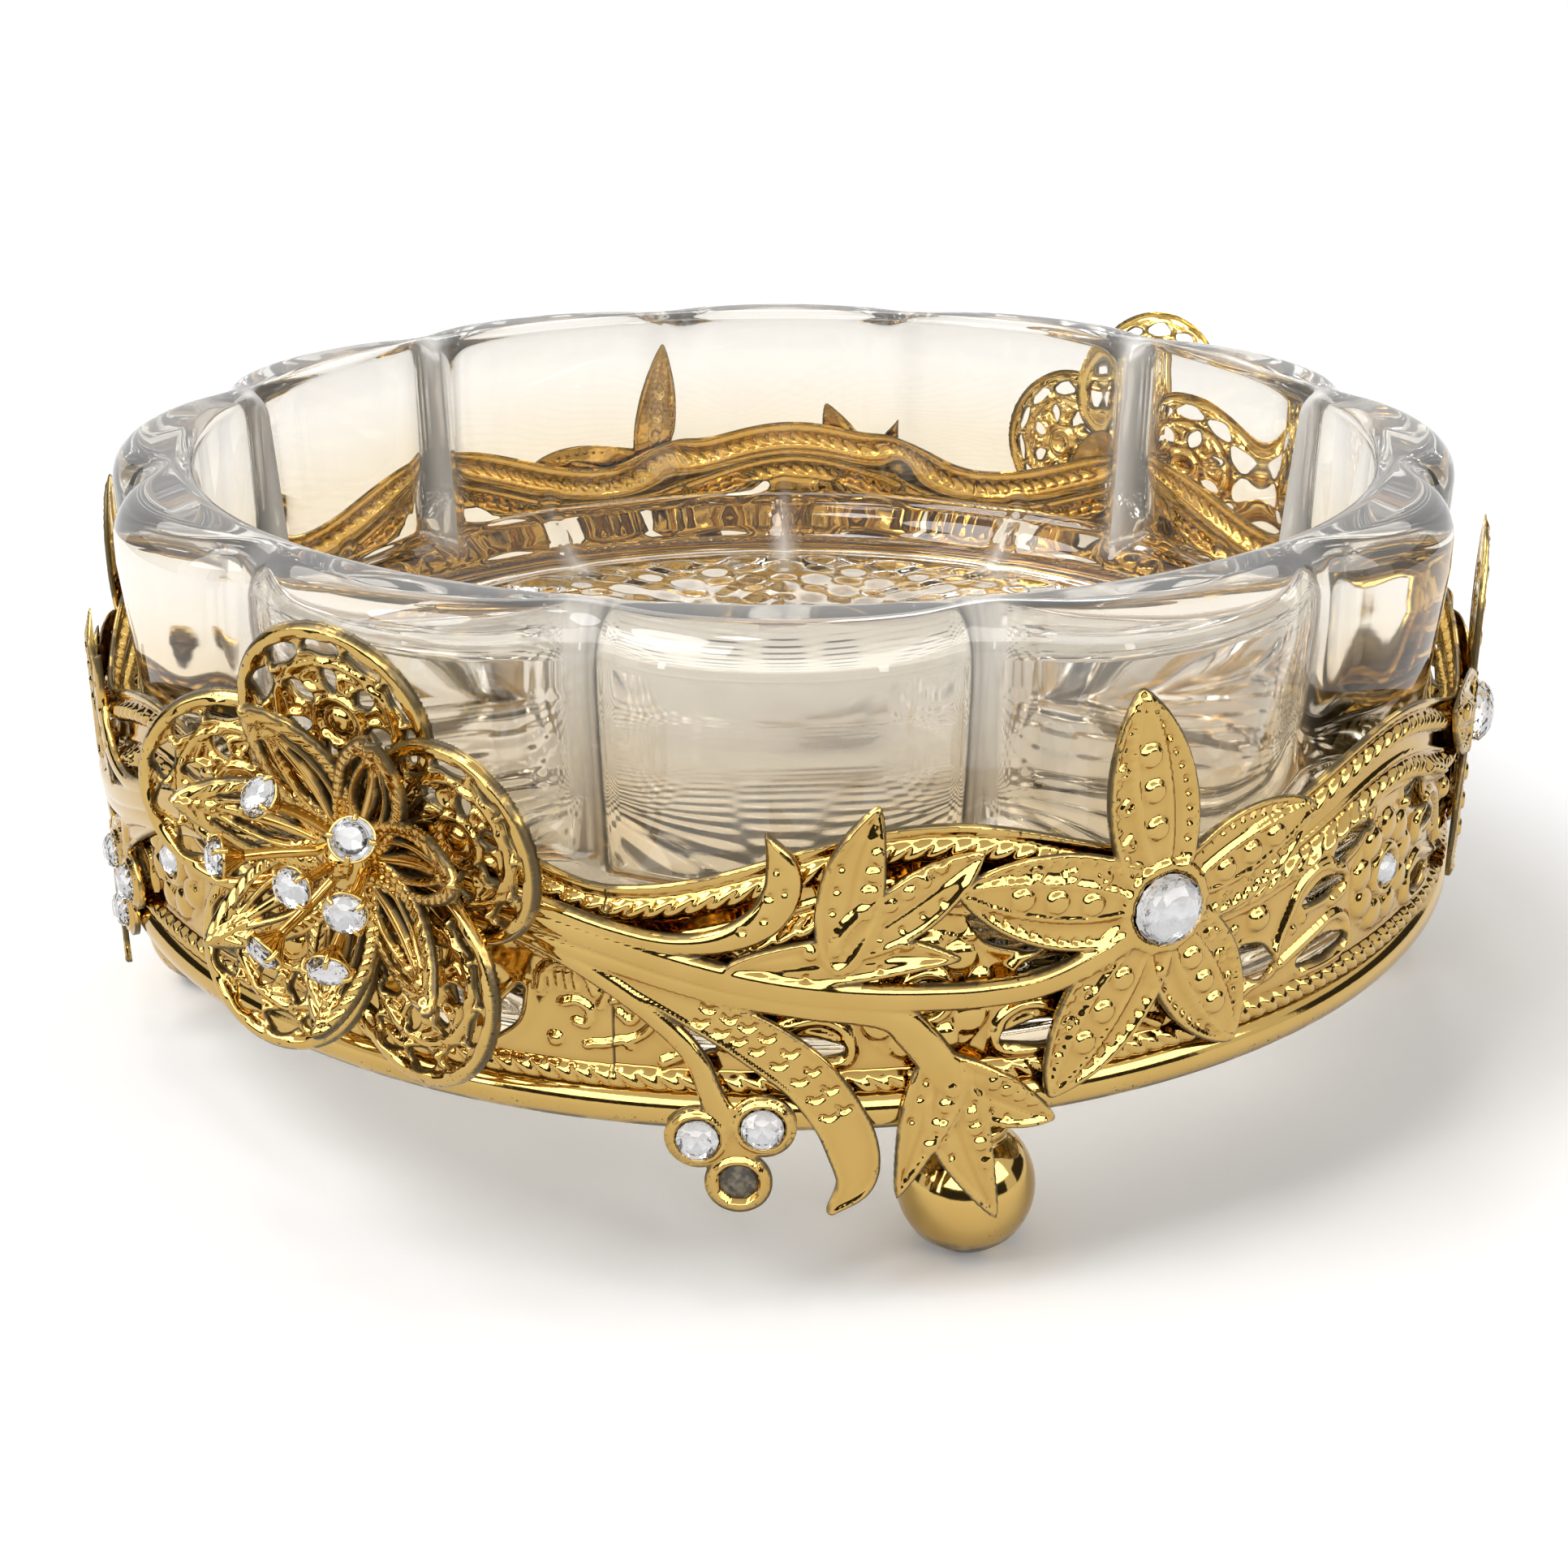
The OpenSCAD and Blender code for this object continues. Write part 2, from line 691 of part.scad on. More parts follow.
module berry_stones(hand) {
    color(crystal)
        for (p = hand == 0 ? clear_of(berries(hand), lost_stone) : berries(hand))
            on_sheet(hand, p)
                stone(berry_stone_d);
}

module at_flower(hand) {
    on_sheet(hand, filigree_at)
        children();
}

// A thin bowl whose back touches z = 0
module bowl(r, t) {
    translate([0, 0, r + t])
        difference() {
            sphere(r = r + t);
            sphere(r = r);
            translate([0, 0, r * (bowl_depth - 1)])
                cylinder(r = 2 * r, h = 3 * r);
        }
}

module filigree_sheet(r, t, up) {
    difference() {
        union() {
            intersection() {
                translate([0, 0, up])
                    bowl(r, t);
                linear_extrude(tall)
                    children();
            }
            translate([0, 0, up])
                cylinder(d = hub_d, h = up == 0 ? hub_t : t);
        }
        translate([0, 0, up - over])
            cylinder(d = rivet_d + 2 * rivet_play, h = hub_t + 2 * over);
    }
}

// One rounded outer petal with its openings, pointing along +X
module outer_petal() {
    mid = outer_petal_r - outer_petal_w / 2;
    difference() {
        union() {
            translate([mid, 0])
                circle(d = outer_petal_w);
            translate([0, -hub_d / 2])
                square([mid, hub_d]);
        }
        for (i = [-1:1])
            translate([mid, 0])
                rotate(i * outer_opening_turn)
                    scale(outer_petal_w)
                        polygon(leaf_outline([outer_opening[0], 0], [outer_opening[1], 0], outer_opening[2]));
        for (side = [-1, 1])
            polygon(leaf_outline(
                [mid * root_opening_from, side],
                [mid, side * outer_petal_w * root_opening[0]],
                outer_petal_w * root_opening[1]
            ));
    }
}

module outer_petals(hand) {
    color(gold)
        at_flower(hand)
            filigree_sheet(outer_bowl_r, filigree_t, 0)
                for (i = [0:outer_petals - 1])
                    rotate(first_outer + i * 360 / outer_petals)
                        outer_petal();
}

// One pointed inner petal with a slot each side of its rib, pointing along +X
module inner_petal() {
    difference() {
        polygon(leaf_outline([0, 0], [inner_petal_r, 0], inner_petal_w));
        for (side = [-1, 1])
            polygon(leaf_outline(
                [inner_slot_from.x, side * inner_slot_from.y],
                [inner_petal_r * inner_slot_to, side * inner_slot_spread],
                inner_petal_w * inner_slot_w
            ));
    }
}

module inner_petals(hand) {
    color(gold)
        at_flower(hand)
            filigree_sheet(inner_bowl_r, filigree_t, inner_up)
                for (i = [0:inner_petals - 1])
                    rotate(first_inner + i * 360 / inner_petals)
                        inner_petal();
}

// Turns +Z to lie along a wire, with the middle of its cup's mouth as the origin
module at_cup(place) {
    lean = atan2(norm(place) - wire_foot_r, stamen_up - wire_foot_up);
    translate([place.x, place.y, stamen_up])
        rotate([0, lean, atan2(place.y, place.x)])
            children();
}

function wire_length(place) = norm([norm(place) - wire_foot_r, stamen_up - wire_foot_up]);

// A cup for a stone on the end of a wire
module cup_on_wire(length) {
    translate([0, 0, -length])
        cylinder(d = stamen_wire_d, h = length - cup_t / 2);
    translate([0, 0, -cup_t])
        cylinder(d1 = stamen_wire_d, d2 = stamen_cup_d, h = cup_t);
}

module stamens(hand) {
    color(gold)
        at_flower(hand) {
            difference() {
                translate([0, 0, collar_up])
                    cylinder(d = collar_d, h = collar_t);
                translate([0, 0, collar_up - over])
                    cylinder(d = rivet_d + 2 * rivet_play, h = collar_t + 2 * over);
            }
            for (p = stamen_places)
                at_cup(p)
                    cup_on_wire(wire_length(p));
        }
}

module stamen_stones(hand) {
    color(crystal)
        at_flower(hand) {
            for (p = stamen_places)
                at_cup(p)
                    stone(stamen_stone_d);
            translate([0, 0, stamen_up])
                stone(stamen_stone_d);
        }
}

// The rivet holds the flower on the spray, and carries the middle stone over its head
module flower_rivet(hand) {
    head_up = collar_up + collar_t;
    color(gold)
        at_flower(hand) {
            translate([0, 0, -spray_t])
                cylinder(d = rivet_d, h = spray_t + head_up + rivet_head_t / 2);
            translate([0, 0, head_up])
                cylinder(d = rivet_head_d, h = rivet_head_t);
            translate([0, 0, stamen_up])
                cup_on_wire(stamen_up - head_up);
        }
}

glass_dish();
base_ring();
foot_screws();
gallery_filler();
rosette_stones();
for (i = [0:3]) {
    ball_foot(i);
    spray(i);
    flower_stone(i);
    berry_stones(i);
}
for (i = [1:gallery_panels])
    gallery_panel(i);
for (f = [0, 1]) {
    place = ["front", "back"][f];
    outer_petals(2 * f);
    inner_petals(2 * f);
    stamens(2 * f);
    stamen_stones(2 * f);
    flower_rivet(2 * f);
}
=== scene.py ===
import math

import bpy
import numpy as np
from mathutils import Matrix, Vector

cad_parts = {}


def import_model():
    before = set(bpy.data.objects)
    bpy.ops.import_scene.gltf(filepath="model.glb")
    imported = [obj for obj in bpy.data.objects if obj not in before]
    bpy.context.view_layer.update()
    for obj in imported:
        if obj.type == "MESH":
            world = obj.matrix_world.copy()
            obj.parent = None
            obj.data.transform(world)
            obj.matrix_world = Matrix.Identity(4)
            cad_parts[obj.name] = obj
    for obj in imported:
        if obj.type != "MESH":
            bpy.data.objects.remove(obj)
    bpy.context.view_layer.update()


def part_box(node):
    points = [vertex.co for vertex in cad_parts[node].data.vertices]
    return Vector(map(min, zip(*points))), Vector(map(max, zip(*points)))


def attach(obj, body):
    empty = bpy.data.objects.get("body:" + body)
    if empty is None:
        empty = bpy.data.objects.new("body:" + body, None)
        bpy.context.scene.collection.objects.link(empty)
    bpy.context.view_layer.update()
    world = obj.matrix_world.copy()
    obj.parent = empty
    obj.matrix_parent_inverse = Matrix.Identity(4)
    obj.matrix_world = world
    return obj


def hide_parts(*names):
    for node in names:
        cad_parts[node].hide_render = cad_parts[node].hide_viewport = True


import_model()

# Lengths are in millimetres until a mesh is made
MM = 0.001

# Driving sizes, read from the frame where it has them


def cad_box(node):
    """Lowest and highest corner of a CAD node, in millimetres."""
    low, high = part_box(node)
    return np.array(low) / MM, np.array(high) / MM


GLASS_LOW, GLASS_HIGH = cad_box("glass_dish")
RING_LOW, RING_HIGH = cad_box("base_ring")
GLASS_R = GLASS_HIGH[0]
SEAT_Z = GLASS_LOW[2]
RIM_Z = GLASS_HIGH[2]
RAIL_D = 3.8
RAIL_OUT_R = RING_HIGH[0]
RAIL_Z = RING_LOW[2] + RAIL_D / 2
GALLERY_T = 0.7
# The gallery stands this far above the middle of the rail
GALLERY_LOW = 1.5
GALLERY_OUT_R = RAIL_OUT_R - 0.8
GALLERY_IN_R = GALLERY_OUT_R - GALLERY_T
SPRAY_IN_R = RAIL_OUT_R + 0.05
SPRAY_OUT_R = SPRAY_IN_R + 0.9

# Turns round the dish from its front, in degrees, positive to the right
FILIGREE_TURN = -29.7
LEFT_START = 7.9
SECOND_SET = 169.4
FIRST_CREST = 9.5
PANEL_PITCH = 42.35
GALLERY_PANELS = 8
FOOT_TURN = 44.3
# Sprays: the turn that each starts from, and the side that it runs to
HANDS = {
    "front_right": (FILIGREE_TURN, 1),
    "front_left": (FILIGREE_TURN - LEFT_START, -1),
    "back_right": (FILIGREE_TURN + SECOND_SET, 1),
    "back_left": (FILIGREE_TURN - LEFT_START + SECOND_SET, -1),
}

# Finishes: sockets, shader maths and materials


class Signal:
    """A socket of a finish. Arithmetic on signals adds Math nodes."""

    def __init__(self, finish, socket):
        self.finish = finish
        self.socket = socket

    def math(self, operation, first, second):
        return self.finish.node("ShaderNodeMath", {"operation": operation}, {0: first, 1: second})

    def __add__(self, other):
        return self.math("ADD", self, other)

    def __sub__(self, other):
        return self.math("SUBTRACT", self, other)

    def __rsub__(self, other):
        return self.math("SUBTRACT", other, self)

    def __mul__(self, other):
        return self.math("MULTIPLY", self, other)

    def __gt__(self, other):
        return self.math("GREATER_THAN", self, other)

    __radd__ = __add__
    __rmul__ = __mul__


class Finish:
    """The node tree of a material or of the world."""

    def __init__(self, owner):
        self.owner = owner
        owner.use_nodes = True
        self.tree = owner.node_tree
        self.tree.nodes.clear()

    def node(self, kind, settings=None, sockets=None, out=0):
        """Adds a node: its settings first, then the values or links of its sockets."""
        made = self.tree.nodes.new(kind)
        for name, value in (settings or {}).items():
            setattr(made, name, value)
        for name, value in (sockets or {}).items():
            if isinstance(value, Signal):
                self.tree.links.new(value.socket, made.inputs[name])
            else:
                made.inputs[name].default_value = value
        return Signal(self, made.outputs[out]) if len(made.outputs) else None

    def place(self):
        return self.node("ShaderNodeTexCoord", out=3)

    def noise(self, size, detail=2.0):
        """Even noise from 0 to 1 with patches of about this size in millimetres."""
        return self.node(
            "ShaderNodeTexNoise", None, {"Vector": self.place(), "Scale": 1 / (size * MM), "Detail": detail}
        )

    def ramp(self, value, low, high):
        """0 below low, 1 above high, and smooth between."""
        return self.node(
            "ShaderNodeMapRange",
            {"interpolation_type": "SMOOTHSTEP"},
            {"Value": value, "From Min": low, "From Max": high},
        )

    def mark(self, name):
        return self.node("ShaderNodeAttribute", {"attribute_name": name}, out=2)

    def blend(self, share, first, second):
        """A colour between two others."""
        return self.node("ShaderNodeMix", {"data_type": "RGBA"}, {0: share, 6: first, 7: second}, out=2)

    def bump(self, height, strength, depth):
        return self.node(
            "ShaderNodeBump", None, {"Height": height, "Strength": strength, "Distance": depth * MM}
        )

    def seen_straight(self):
        """1 for what is seen, also in metal and through glass, and 0 for light that only falls on things."""
        rays = self.node("ShaderNodeLightPath").socket.node.outputs
        kinds = ("Is Camera Ray", "Is Glossy Ray", "Is Transmission Ray")
        return sum(Signal(self, rays[kind]) for kind in kinds) > 0.5

    def shader(self, **sockets):
        """A surface shader. Spaces in the names of its sockets are written as underscores."""
        named = {name.replace("_", " "): value for name, value in sockets.items()}
        return self.node("ShaderNodeBsdfPrincipled", None, named)

    def shown(self, shader):
        self.node("ShaderNodeOutputMaterial", None, {"Surface": shader})
        return self.owner

    def surface(self, **sockets):
        return self.shown(self.shader(**sockets))


def new_finish(name):
    return Finish(bpy.data.materials.new(name))


GOLD_LIGHT = (0.56, 0.385, 0.13, 1)
GOLD_DEEP = (0.48, 0.305, 0.088, 1)
# Painted shade for recesses, and painted light for the backs of the sheets
GOLD_PAINTED_SHADE = (0.25, 0.085, 0.016, 1)
GOLD_BACK_PAINTED_LIGHT = (0.92, 0.68, 0.25, 1)
TARNISH = (0.03, 0.024, 0.012, 1)


def gilt_metal():
    """Bright plated metal: painted shade in its recesses, painted light on the backs of its sheets, and dark
    specks where the plate has worn at edges.
    """
    f = new_finish("gilt_metal")
    cloud = f.noise(6)
    grain = f.noise(0.5, 4)
    wear = f.mark("wear")
    specks = f.ramp(f.noise(0.35, 3), 0.62, 0.68) * f.ramp(f.noise(5), 0.45, 0.6) * f.ramp(wear, 0.1, 0.5)
    bare_edge = f.ramp(wear, 0.65, 0.95) * f.ramp(f.noise(4, 3), 0.38, 0.52)
    worn = specks + bare_edge * (1 - specks) * 0.85
    tone = f.blend(cloud, GOLD_LIGHT, GOLD_DEEP)
    # Painted shade: darker orange-brown where the face lies below its smoothed relief
    tone = f.blend(f.mark("recess"), tone, GOLD_PAINTED_SHADE)
    # Painted light: the backs of the sheets, marked inside, are lighter gold
    tone = f.blend(f.mark("inside"), tone, GOLD_BACK_PAINTED_LIGHT)
    tone = f.blend(worn, tone, TARNISH)
    return f.surface(
        Base_Color=tone,
        Metallic=1 - worn * 0.5,
        Roughness=grain * 0.05 + cloud * 0.05 + worn * 0.3 + 0.03,
        Normal=f.bump(grain + cloud * 2, 0.1, 0.05),
    )


def lost_stone_residue():
    """Dull grey-brown glue in a cup that has lost its stone."""
    f = new_finish("old_glue")
    lumps = f.noise(0.7, 5)
    tone = f.blend(f.ramp(lumps, 0.35, 0.65), (0.05, 0.042, 0.03, 1), (0.22, 0.19, 0.13, 1))
    return f.surface(Base_Color=tone, Roughness=lumps * 0.4 + 0.35, Normal=f.bump(lumps, 0.6, 0.3))


def clear_glass():
    """Thick pressed glass with a painted reflection of the gilt round it, a honey tint near its foot, and
    milky on its ribs.
    """
    f = new_finish("clear_glass")
    uneven = f.bump(f.noise(14, 1), 0.2, 0.4)
    haze = f.noise(3, 3)
    clear = f.blend(haze, (0.92, 0.895, 0.845, 1), (0.9, 0.87, 0.81, 1))
    glass = f.shader(
        # Painted reflection: a honey tint near the foot stands for the gilt round the glass
        Base_Color=f.blend(f.mark("warm"), clear, (0.78, 0.59, 0.31, 1)),
        Roughness=haze * 0.02 + f.mark("soft") * 0.03,
        IOR=1.5,
        Transmission_Weight=1.0,
        Normal=uneven,
    )
    milky = f.shader(
        Base_Color=f.blend(haze, (0.93, 0.91, 0.87, 1), (0.87, 0.84, 0.79, 1)),
        Roughness=haze * 0.2 + 0.1,
        Normal=uneven,
    )
    return f.shown(f.node("ShaderNodeMixShader", None, {0: f.mark("frost"), 1: glass, 2: milky}))


def crystal():
    f = new_finish("crystal")
    haze = f.noise(0.8, 2)
    return f.surface(
        Base_Color=f.blend(haze, (1, 1, 1, 1), (0.94, 0.95, 0.97, 1)),
        Roughness=haze * 0.02,
        IOR=1.58,
        Transmission_Weight=1.0,
    )


def foil():
    """The mirror coat on the back of a stone."""
    f = new_finish("stone_foil")
    patches = f.noise(0.5, 3)
    return f.surface(
        Base_Color=f.blend(patches, (0.78, 0.78, 0.79, 1), (0.5, 0.49, 0.48, 1)),
        Metallic=1.0,
        Roughness=patches * 0.12 + 0.03,
    )


GILT = gilt_metal()
GLUE = lost_stone_residue()
GLASS = clear_glass()
STONE = [crystal(), foil()]

# Forms: points, faces and marks, before they become meshes


class Form:
    """Points, groups of faces with the finish each takes, and marks on the points."""

    def __init__(self, points, faces, marks=None):
        self.points = np.asarray(points, float)
        self.faces = [(np.asarray(group, int), finish) for group, finish in faces]
        self.marks = marks or {}

    def moved(self, place, mirrored=False):
        faces = [(group[:, ::-1] if mirrored else group, finish) for group, finish in self.faces]
        return Form(place(self.points), faces, self.marks)

    def marked(self, name, values):
        self.marks[name] = np.broadcast_to(values, len(self.points)).astype(float)
        return self


def joined(forms):
    forms = list(forms)
    starts = np.cumsum([0] + [len(form.points) for form in forms])
    names = sorted({name for form in forms for name in form.marks})
    return Form(
        np.vstack([form.points for form in forms]),
        [(group + start, finish) for form, start in zip(forms, starts) for group, finish in form.faces],
        {n: np.concatenate([f.marks.get(n, np.zeros(len(f.points))) for f in forms]) for n in names},
    )


def add_object(name, data):
    made = bpy.data.objects.new(name, data)
    bpy.context.scene.collection.objects.link(made)
    return made


def make_piece(name, form, finishes, body, nodes, smooth=True):
    """Makes a form into a piece that rides on a body and stands for CAD nodes."""
    groups = [group for group, _ in form.faces]
    corners = np.concatenate([group.ravel() for group in groups])
    sizes = np.concatenate([np.full(len(group), group.shape[1]) for group in groups])
    mesh = bpy.data.meshes.new(name)
    mesh.vertices.add(len(form.points))
    mesh.vertices.foreach_set("co", (form.points * MM).astype(np.float32).ravel())
    mesh.loops.add(len(corners))
    mesh.loops.foreach_set("vertex_index", corners.astype(np.int32))
    mesh.polygons.add(len(sizes))
    mesh.polygons.foreach_set("loop_start", np.concatenate([[0], np.cumsum(sizes)[:-1]]).astype(np.int32))
    mesh.update(calc_edges=True)
    finish_of = np.concatenate([np.full(len(group), finish) for group, finish in form.faces])
    mesh.polygons.foreach_set("material_index", finish_of.astype(np.int32))
    mesh.polygons.foreach_set("use_smooth", np.full(len(sizes), smooth))
    for mark, values in form.marks.items():
        layer = mesh.attributes.new(mark, "FLOAT", "POINT")
        layer.data.foreach_set("value", values.astype(np.float32))
    mesh.update()
    for finish in finishes:
        mesh.materials.append(finish)
    piece = add_object(name, mesh)
    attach(piece, body)
    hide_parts(*nodes)
    return piece


def gilt_piece(node, form, finishes=(GILT,)):
    return make_piece(node + "_gilt", form, finishes, "holder", [node])


def stone_piece(node, forms):
    return make_piece(node + "_cut", joined(forms), STONE, "holder", [node], smooth=False)


def smooth_run(points, steps=8):
    """Rows along a smooth curve through the given rows."""
    p = np.asarray(points, float)
    p = np.vstack([2 * p[0] - p[1], p, 2 * p[-1] - p[-2]])
    t = (np.arange(steps) / steps)[:, None]
    spans = []
    for a, b, c, d in zip(p, p[1:], p[2:], p[3:]):
        square = a - 2.5 * b + 2 * c - d / 2
        cube = 1.5 * b - a / 2 - 1.5 * c + d / 2
        spans.append(b + (c - a) * t / 2 + square * t**2 + cube * t**3)
    return np.vstack(spans + [p[-2:-1]])


def ring_quads(rows, columns, closed=False):
    """Quads of rows of points whose columns close up into a ring."""
    r = np.arange(rows if closed else rows - 1)[:, None]
    c = np.arange(columns)[None, :]
    up = (r + 1) % rows
    right = (c + 1) % columns
    corners = [r * columns + c, r * columns + right, up * columns + right, up * columns + c]
    return np.stack(np.broadcast_arrays(*corners), axis=-1).reshape(-1, 4)


def fan(pole, ring, at_end):
    """Triangles between a pole and the ring next to it."""
    after = np.roll(ring, -1)
    poles = np.full(len(ring), pole)
    return np.stack([ring, after, poles] if at_end else [poles, after, ring], axis=-1)


def turned_rows(radius, height):
    """Points of rows round the upright axis; radius and height have a row per ring."""
    steps = radius.shape[1]
    turn = np.arange(steps) * 2 * np.pi / steps
    return np.stack([radius * np.sin(turn), -radius * np.cos(turn), height], axis=-1).reshape(-1, 3)


def capped(rows, columns, points, low_pole, high_pole):
    """A closed form of rings between two poles."""
    count = rows * columns
    ring = np.arange(columns)
    faces = [
        (ring_quads(rows, columns), 0),
        (fan(count, ring, False), 0),
        (fan(count + 1, ring + count - columns, True), 0),
    ]
    return Form(np.vstack([points, low_pole, high_pole]), faces)


def revolved(profile, steps):
    """Turns an outline round the upright axis. It starts and ends on the axis, or closes on itself."""
    profile = np.asarray(profile, float)
    closed = profile[0][0] > 0
    rings = profile if closed else profile[1:-1]
    ones = np.ones((1, steps))
    points = turned_rows(rings[:, :1] * ones, rings[:, 1:] * ones)
    if closed:
        return Form(points, [(ring_quads(len(rings), steps, closed=True), 0)])
    return capped(len(rings), steps, points, [[0, 0, profile[0][1]]], [[0, 0, profile[-1][1]]])


def polar(radius, degrees):
    a = math.radians(degrees)
    return np.array([radius * math.cos(a), radius * math.sin(a)])


def arc(middle, radius, start, end, steps):
    turn = np.radians(np.linspace(start, end, steps))
    return np.stack([middle[0] + radius * np.cos(turn), middle[1] + radius * np.sin(turn)], axis=-1)


def tube(path, radii, sides=10):
    """A round wire along a path, closed at both ends."""
    path = np.asarray(path, float)
    radii = np.broadcast_to(np.asarray(radii, float), len(path))
    ahead = np.gradient(path, axis=0)
    ahead /= np.linalg.norm(ahead, axis=1)[:, None]
    across = np.cross(ahead, [0.31, 0.47, 0.83])
    across /= np.linalg.norm(across, axis=1)[:, None]
    over = np.cross(ahead, across)
    turn = np.arange(sides) * 2 * np.pi / sides
    rim = across[:, None] * np.cos(turn)[None, :, None] + over[:, None] * np.sin(turn)[None, :, None]
    points = path[:, None] + rim * radii[:, None, None]
    return capped(len(path), sides, points.reshape(-1, 3), path[:1], path[-1:])


def standing(turn, radius, up):
    """Moves a local form (x right, y up, z out) to a place on the round wall."""
    a = math.radians(turn)
    right = np.array([math.cos(a), math.sin(a), 0])
    out = np.array([math.sin(a), -math.cos(a), 0])
    start = radius * out + np.array([0, 0, RAIL_Z + up])
    return lambda p: start + p[:, :1] * right + p[:, 1:2] * np.array([0, 0, 1]) + p[:, 2:] * out


def on_wall(turn, radius, side=1):
    """Bends a flat form (along, up, out) round the wall, starting at a turn."""

    def place(p):
        a = math.radians(turn) + side * p[:, 0] / radius
        r = radius + p[:, 2]
        return np.stack([r * np.sin(a), -r * np.cos(a), RAIL_Z + p[:, 1]], axis=-1)

    return place


# Stamped sheets: a flat drawing with a relief, cut out of a fine grid


def dome(share):
    return np.sqrt(np.clip(1 - share**2, 0, 1))


def bell(x):
    return np.exp(-(x**2))


def step_up(x, low, high):
    t = np.clip((x - low) / (high - low), 0, 1)
    return t * t * (3 - 2 * t)


def open_sides(keep, corner):
    """The sides of kept cells that have no neighbour, each as its two corners."""
    room = np.pad(keep, 1)
    beside = [room[1:-1, :-2], room[2:, 1:-1], room[1:-1, 2:], room[:-2, 1:-1]]
    sides = []
    for k in range(4):
        bare = keep & ~beside[k]
        sides.append(np.stack([corner[k][bare], corner[(k + 1) % 4][bare]], axis=-1))
    return np.vstack(sides)


class Stamping:
    """Distance to the outline, negative inside, and height of the face, on a fine grid."""

    FAR = 9.0
    # Relief depth for the full painted shade, width of a worn edge, and strength of the painted shade and of
    # the painted light on the back
    PAINTED_SHADE_DEPTH = 0.35
    PAINTED_SHADE_SHARE = 0.6
    WEAR_WIDTH = 0.7
    BACK_PAINTED_LIGHT_SHARE = 0.9

    def __init__(self, low, high, step):
        self.step = step
        self.low = np.array(low, float)
        along = np.arange(low[0], high[0] + step, step)
        up = np.arange(low[1], high[1] + step, step)
        self.u, self.v = np.meshgrid(along, up, indexing="ij")
        self.gap = np.full(self.u.shape, self.FAR)
        self.face = np.zeros(self.u.shape)

    def window(self, low, high):
        first = np.maximum(((np.asarray(low) - self.low) / self.step).astype(int), 0)
        last = np.maximum(((np.asarray(high) - self.low) / self.step).astype(int) + 2, 0)
        return slice(first[0], last[0]), slice(first[1], last[1])

    def stroke(self, run, reach=1.0):
        """For a run of (u, v, half width): distance to its edge, share across it, share along it."""
        gap = np.full(self.u.shape, self.FAR)
        across = np.zeros(self.u.shape)
        along = np.zeros(self.u.shape)
        for i, (a, b) in enumerate(zip(run, run[1:])):
            way = b[:2] - a[:2]
            margin = max(a[2], b[2]) + reach
            w = self.window(np.minimum(a, b)[:2] - margin, np.maximum(a, b)[:2] + margin)
            x = self.u[w] - a[0]
            y = self.v[w] - a[1]
            t = np.clip((x * way[0] + y * way[1]) / (way @ way), 0, 1)
            distance = np.hypot(x - t * way[0], y - t * way[1])
            half = np.maximum(a[2] + t * (b[2] - a[2]), 0.02)
            side = np.where(way[0] * y - way[1] * x < 0, -1, 1)
            nearer = distance - half < gap[w]
            gap[w] = np.where(nearer, distance - half, gap[w])
            across[w] = np.where(nearer, side * distance / half, across[w])
            along[w] = np.where(nearer, (i + t) / (len(run) - 1), along[w])
        return gap, across, along

    def lay(self, gap, face):
        """Joins a shape to the sheet. Where shapes overlap, the higher face shows."""
        near = gap < 2 * self.step
        self.face = np.where(near, np.maximum(self.face, face), self.face)
        self.gap = np.minimum(self.gap, gap)

    def wire(self, points, low, high):
        """A rounded strand of the sheet through rows of (u, v, half width)."""
        gap, across, _ = self.stroke(smooth_run(points))
        self.lay(gap, low + (high - low) * dome(across))

    def distance(self, middle):
        return np.hypot(self.u - middle[0], self.v - middle[1])

    def disc(self, middle, radius, face):
        self.lay(self.distance(middle) - radius, face)

    def emboss(self, points, half, height):
        """A fine raised line, or a sunk one, on the face that is there."""
        run = smooth_run([(u, v, half) for u, v in points], 5)
        gap, across, _ = self.stroke(run)
        self.face += np.where(gap < 0, height * dome(across), 0)

    def dot(self, middle, radius, height):
        """A bead on the face, or a dimple where the height is negative."""
        w = self.window(np.subtract(middle, radius), np.add(middle, radius))
        distance = np.hypot(self.u[w] - middle[0], self.v[w] - middle[1])
        self.face[w] += height * dome(np.minimum(distance / radius, 1))

    def seat(self, middle, radius, height):
        """Sinks the face to a flat seat for a stone."""
        sunk = np.minimum(self.face, height)
        self.face = np.where(self.distance(middle) < radius, sunk, self.face)

    def ring(self, middle, radius, half, height):
        """A raised ring on the face."""
        self.face += height * dome(np.clip((self.distance(middle) - radius) / half, -1, 1))

    def limit(self, top, ease):
        """Keeps the face below a height and eases the highest beads down to it."""
        over = np.maximum(self.face - top + ease, 0)
        self.face = np.minimum(self.face, top - ease) + ease * np.tanh(over / ease)

    def pierce(self, points, lip=0.35, lip_height=0.18):
        """An opening through rows of (u, v, half width), with a soft raised lip."""
        gap, _, _ = self.stroke(smooth_run(points, 6))
        self.face += lip_height * bell((gap - lip) / lip) * (gap < 3 * lip)
        self.gap = np.maximum(self.gap, -gap)

    def sample(self, values, uv):
        at = (uv - self.low) / self.step
        cell = np.clip(np.floor(at).astype(int), 0, np.array(values.shape) - 2)
        t = np.clip(at - cell, 0, 1)
        i, j = cell[:, 0], cell[:, 1]
        low = values[i, j] * (1 - t[:, 0]) + values[i + 1, j] * t[:, 0]
        high = values[i, j + 1] * (1 - t[:, 0]) + values[i + 1, j + 1] * t[:, 0]
        return low * (1 - t[:, 1]) + high * t[:, 1]

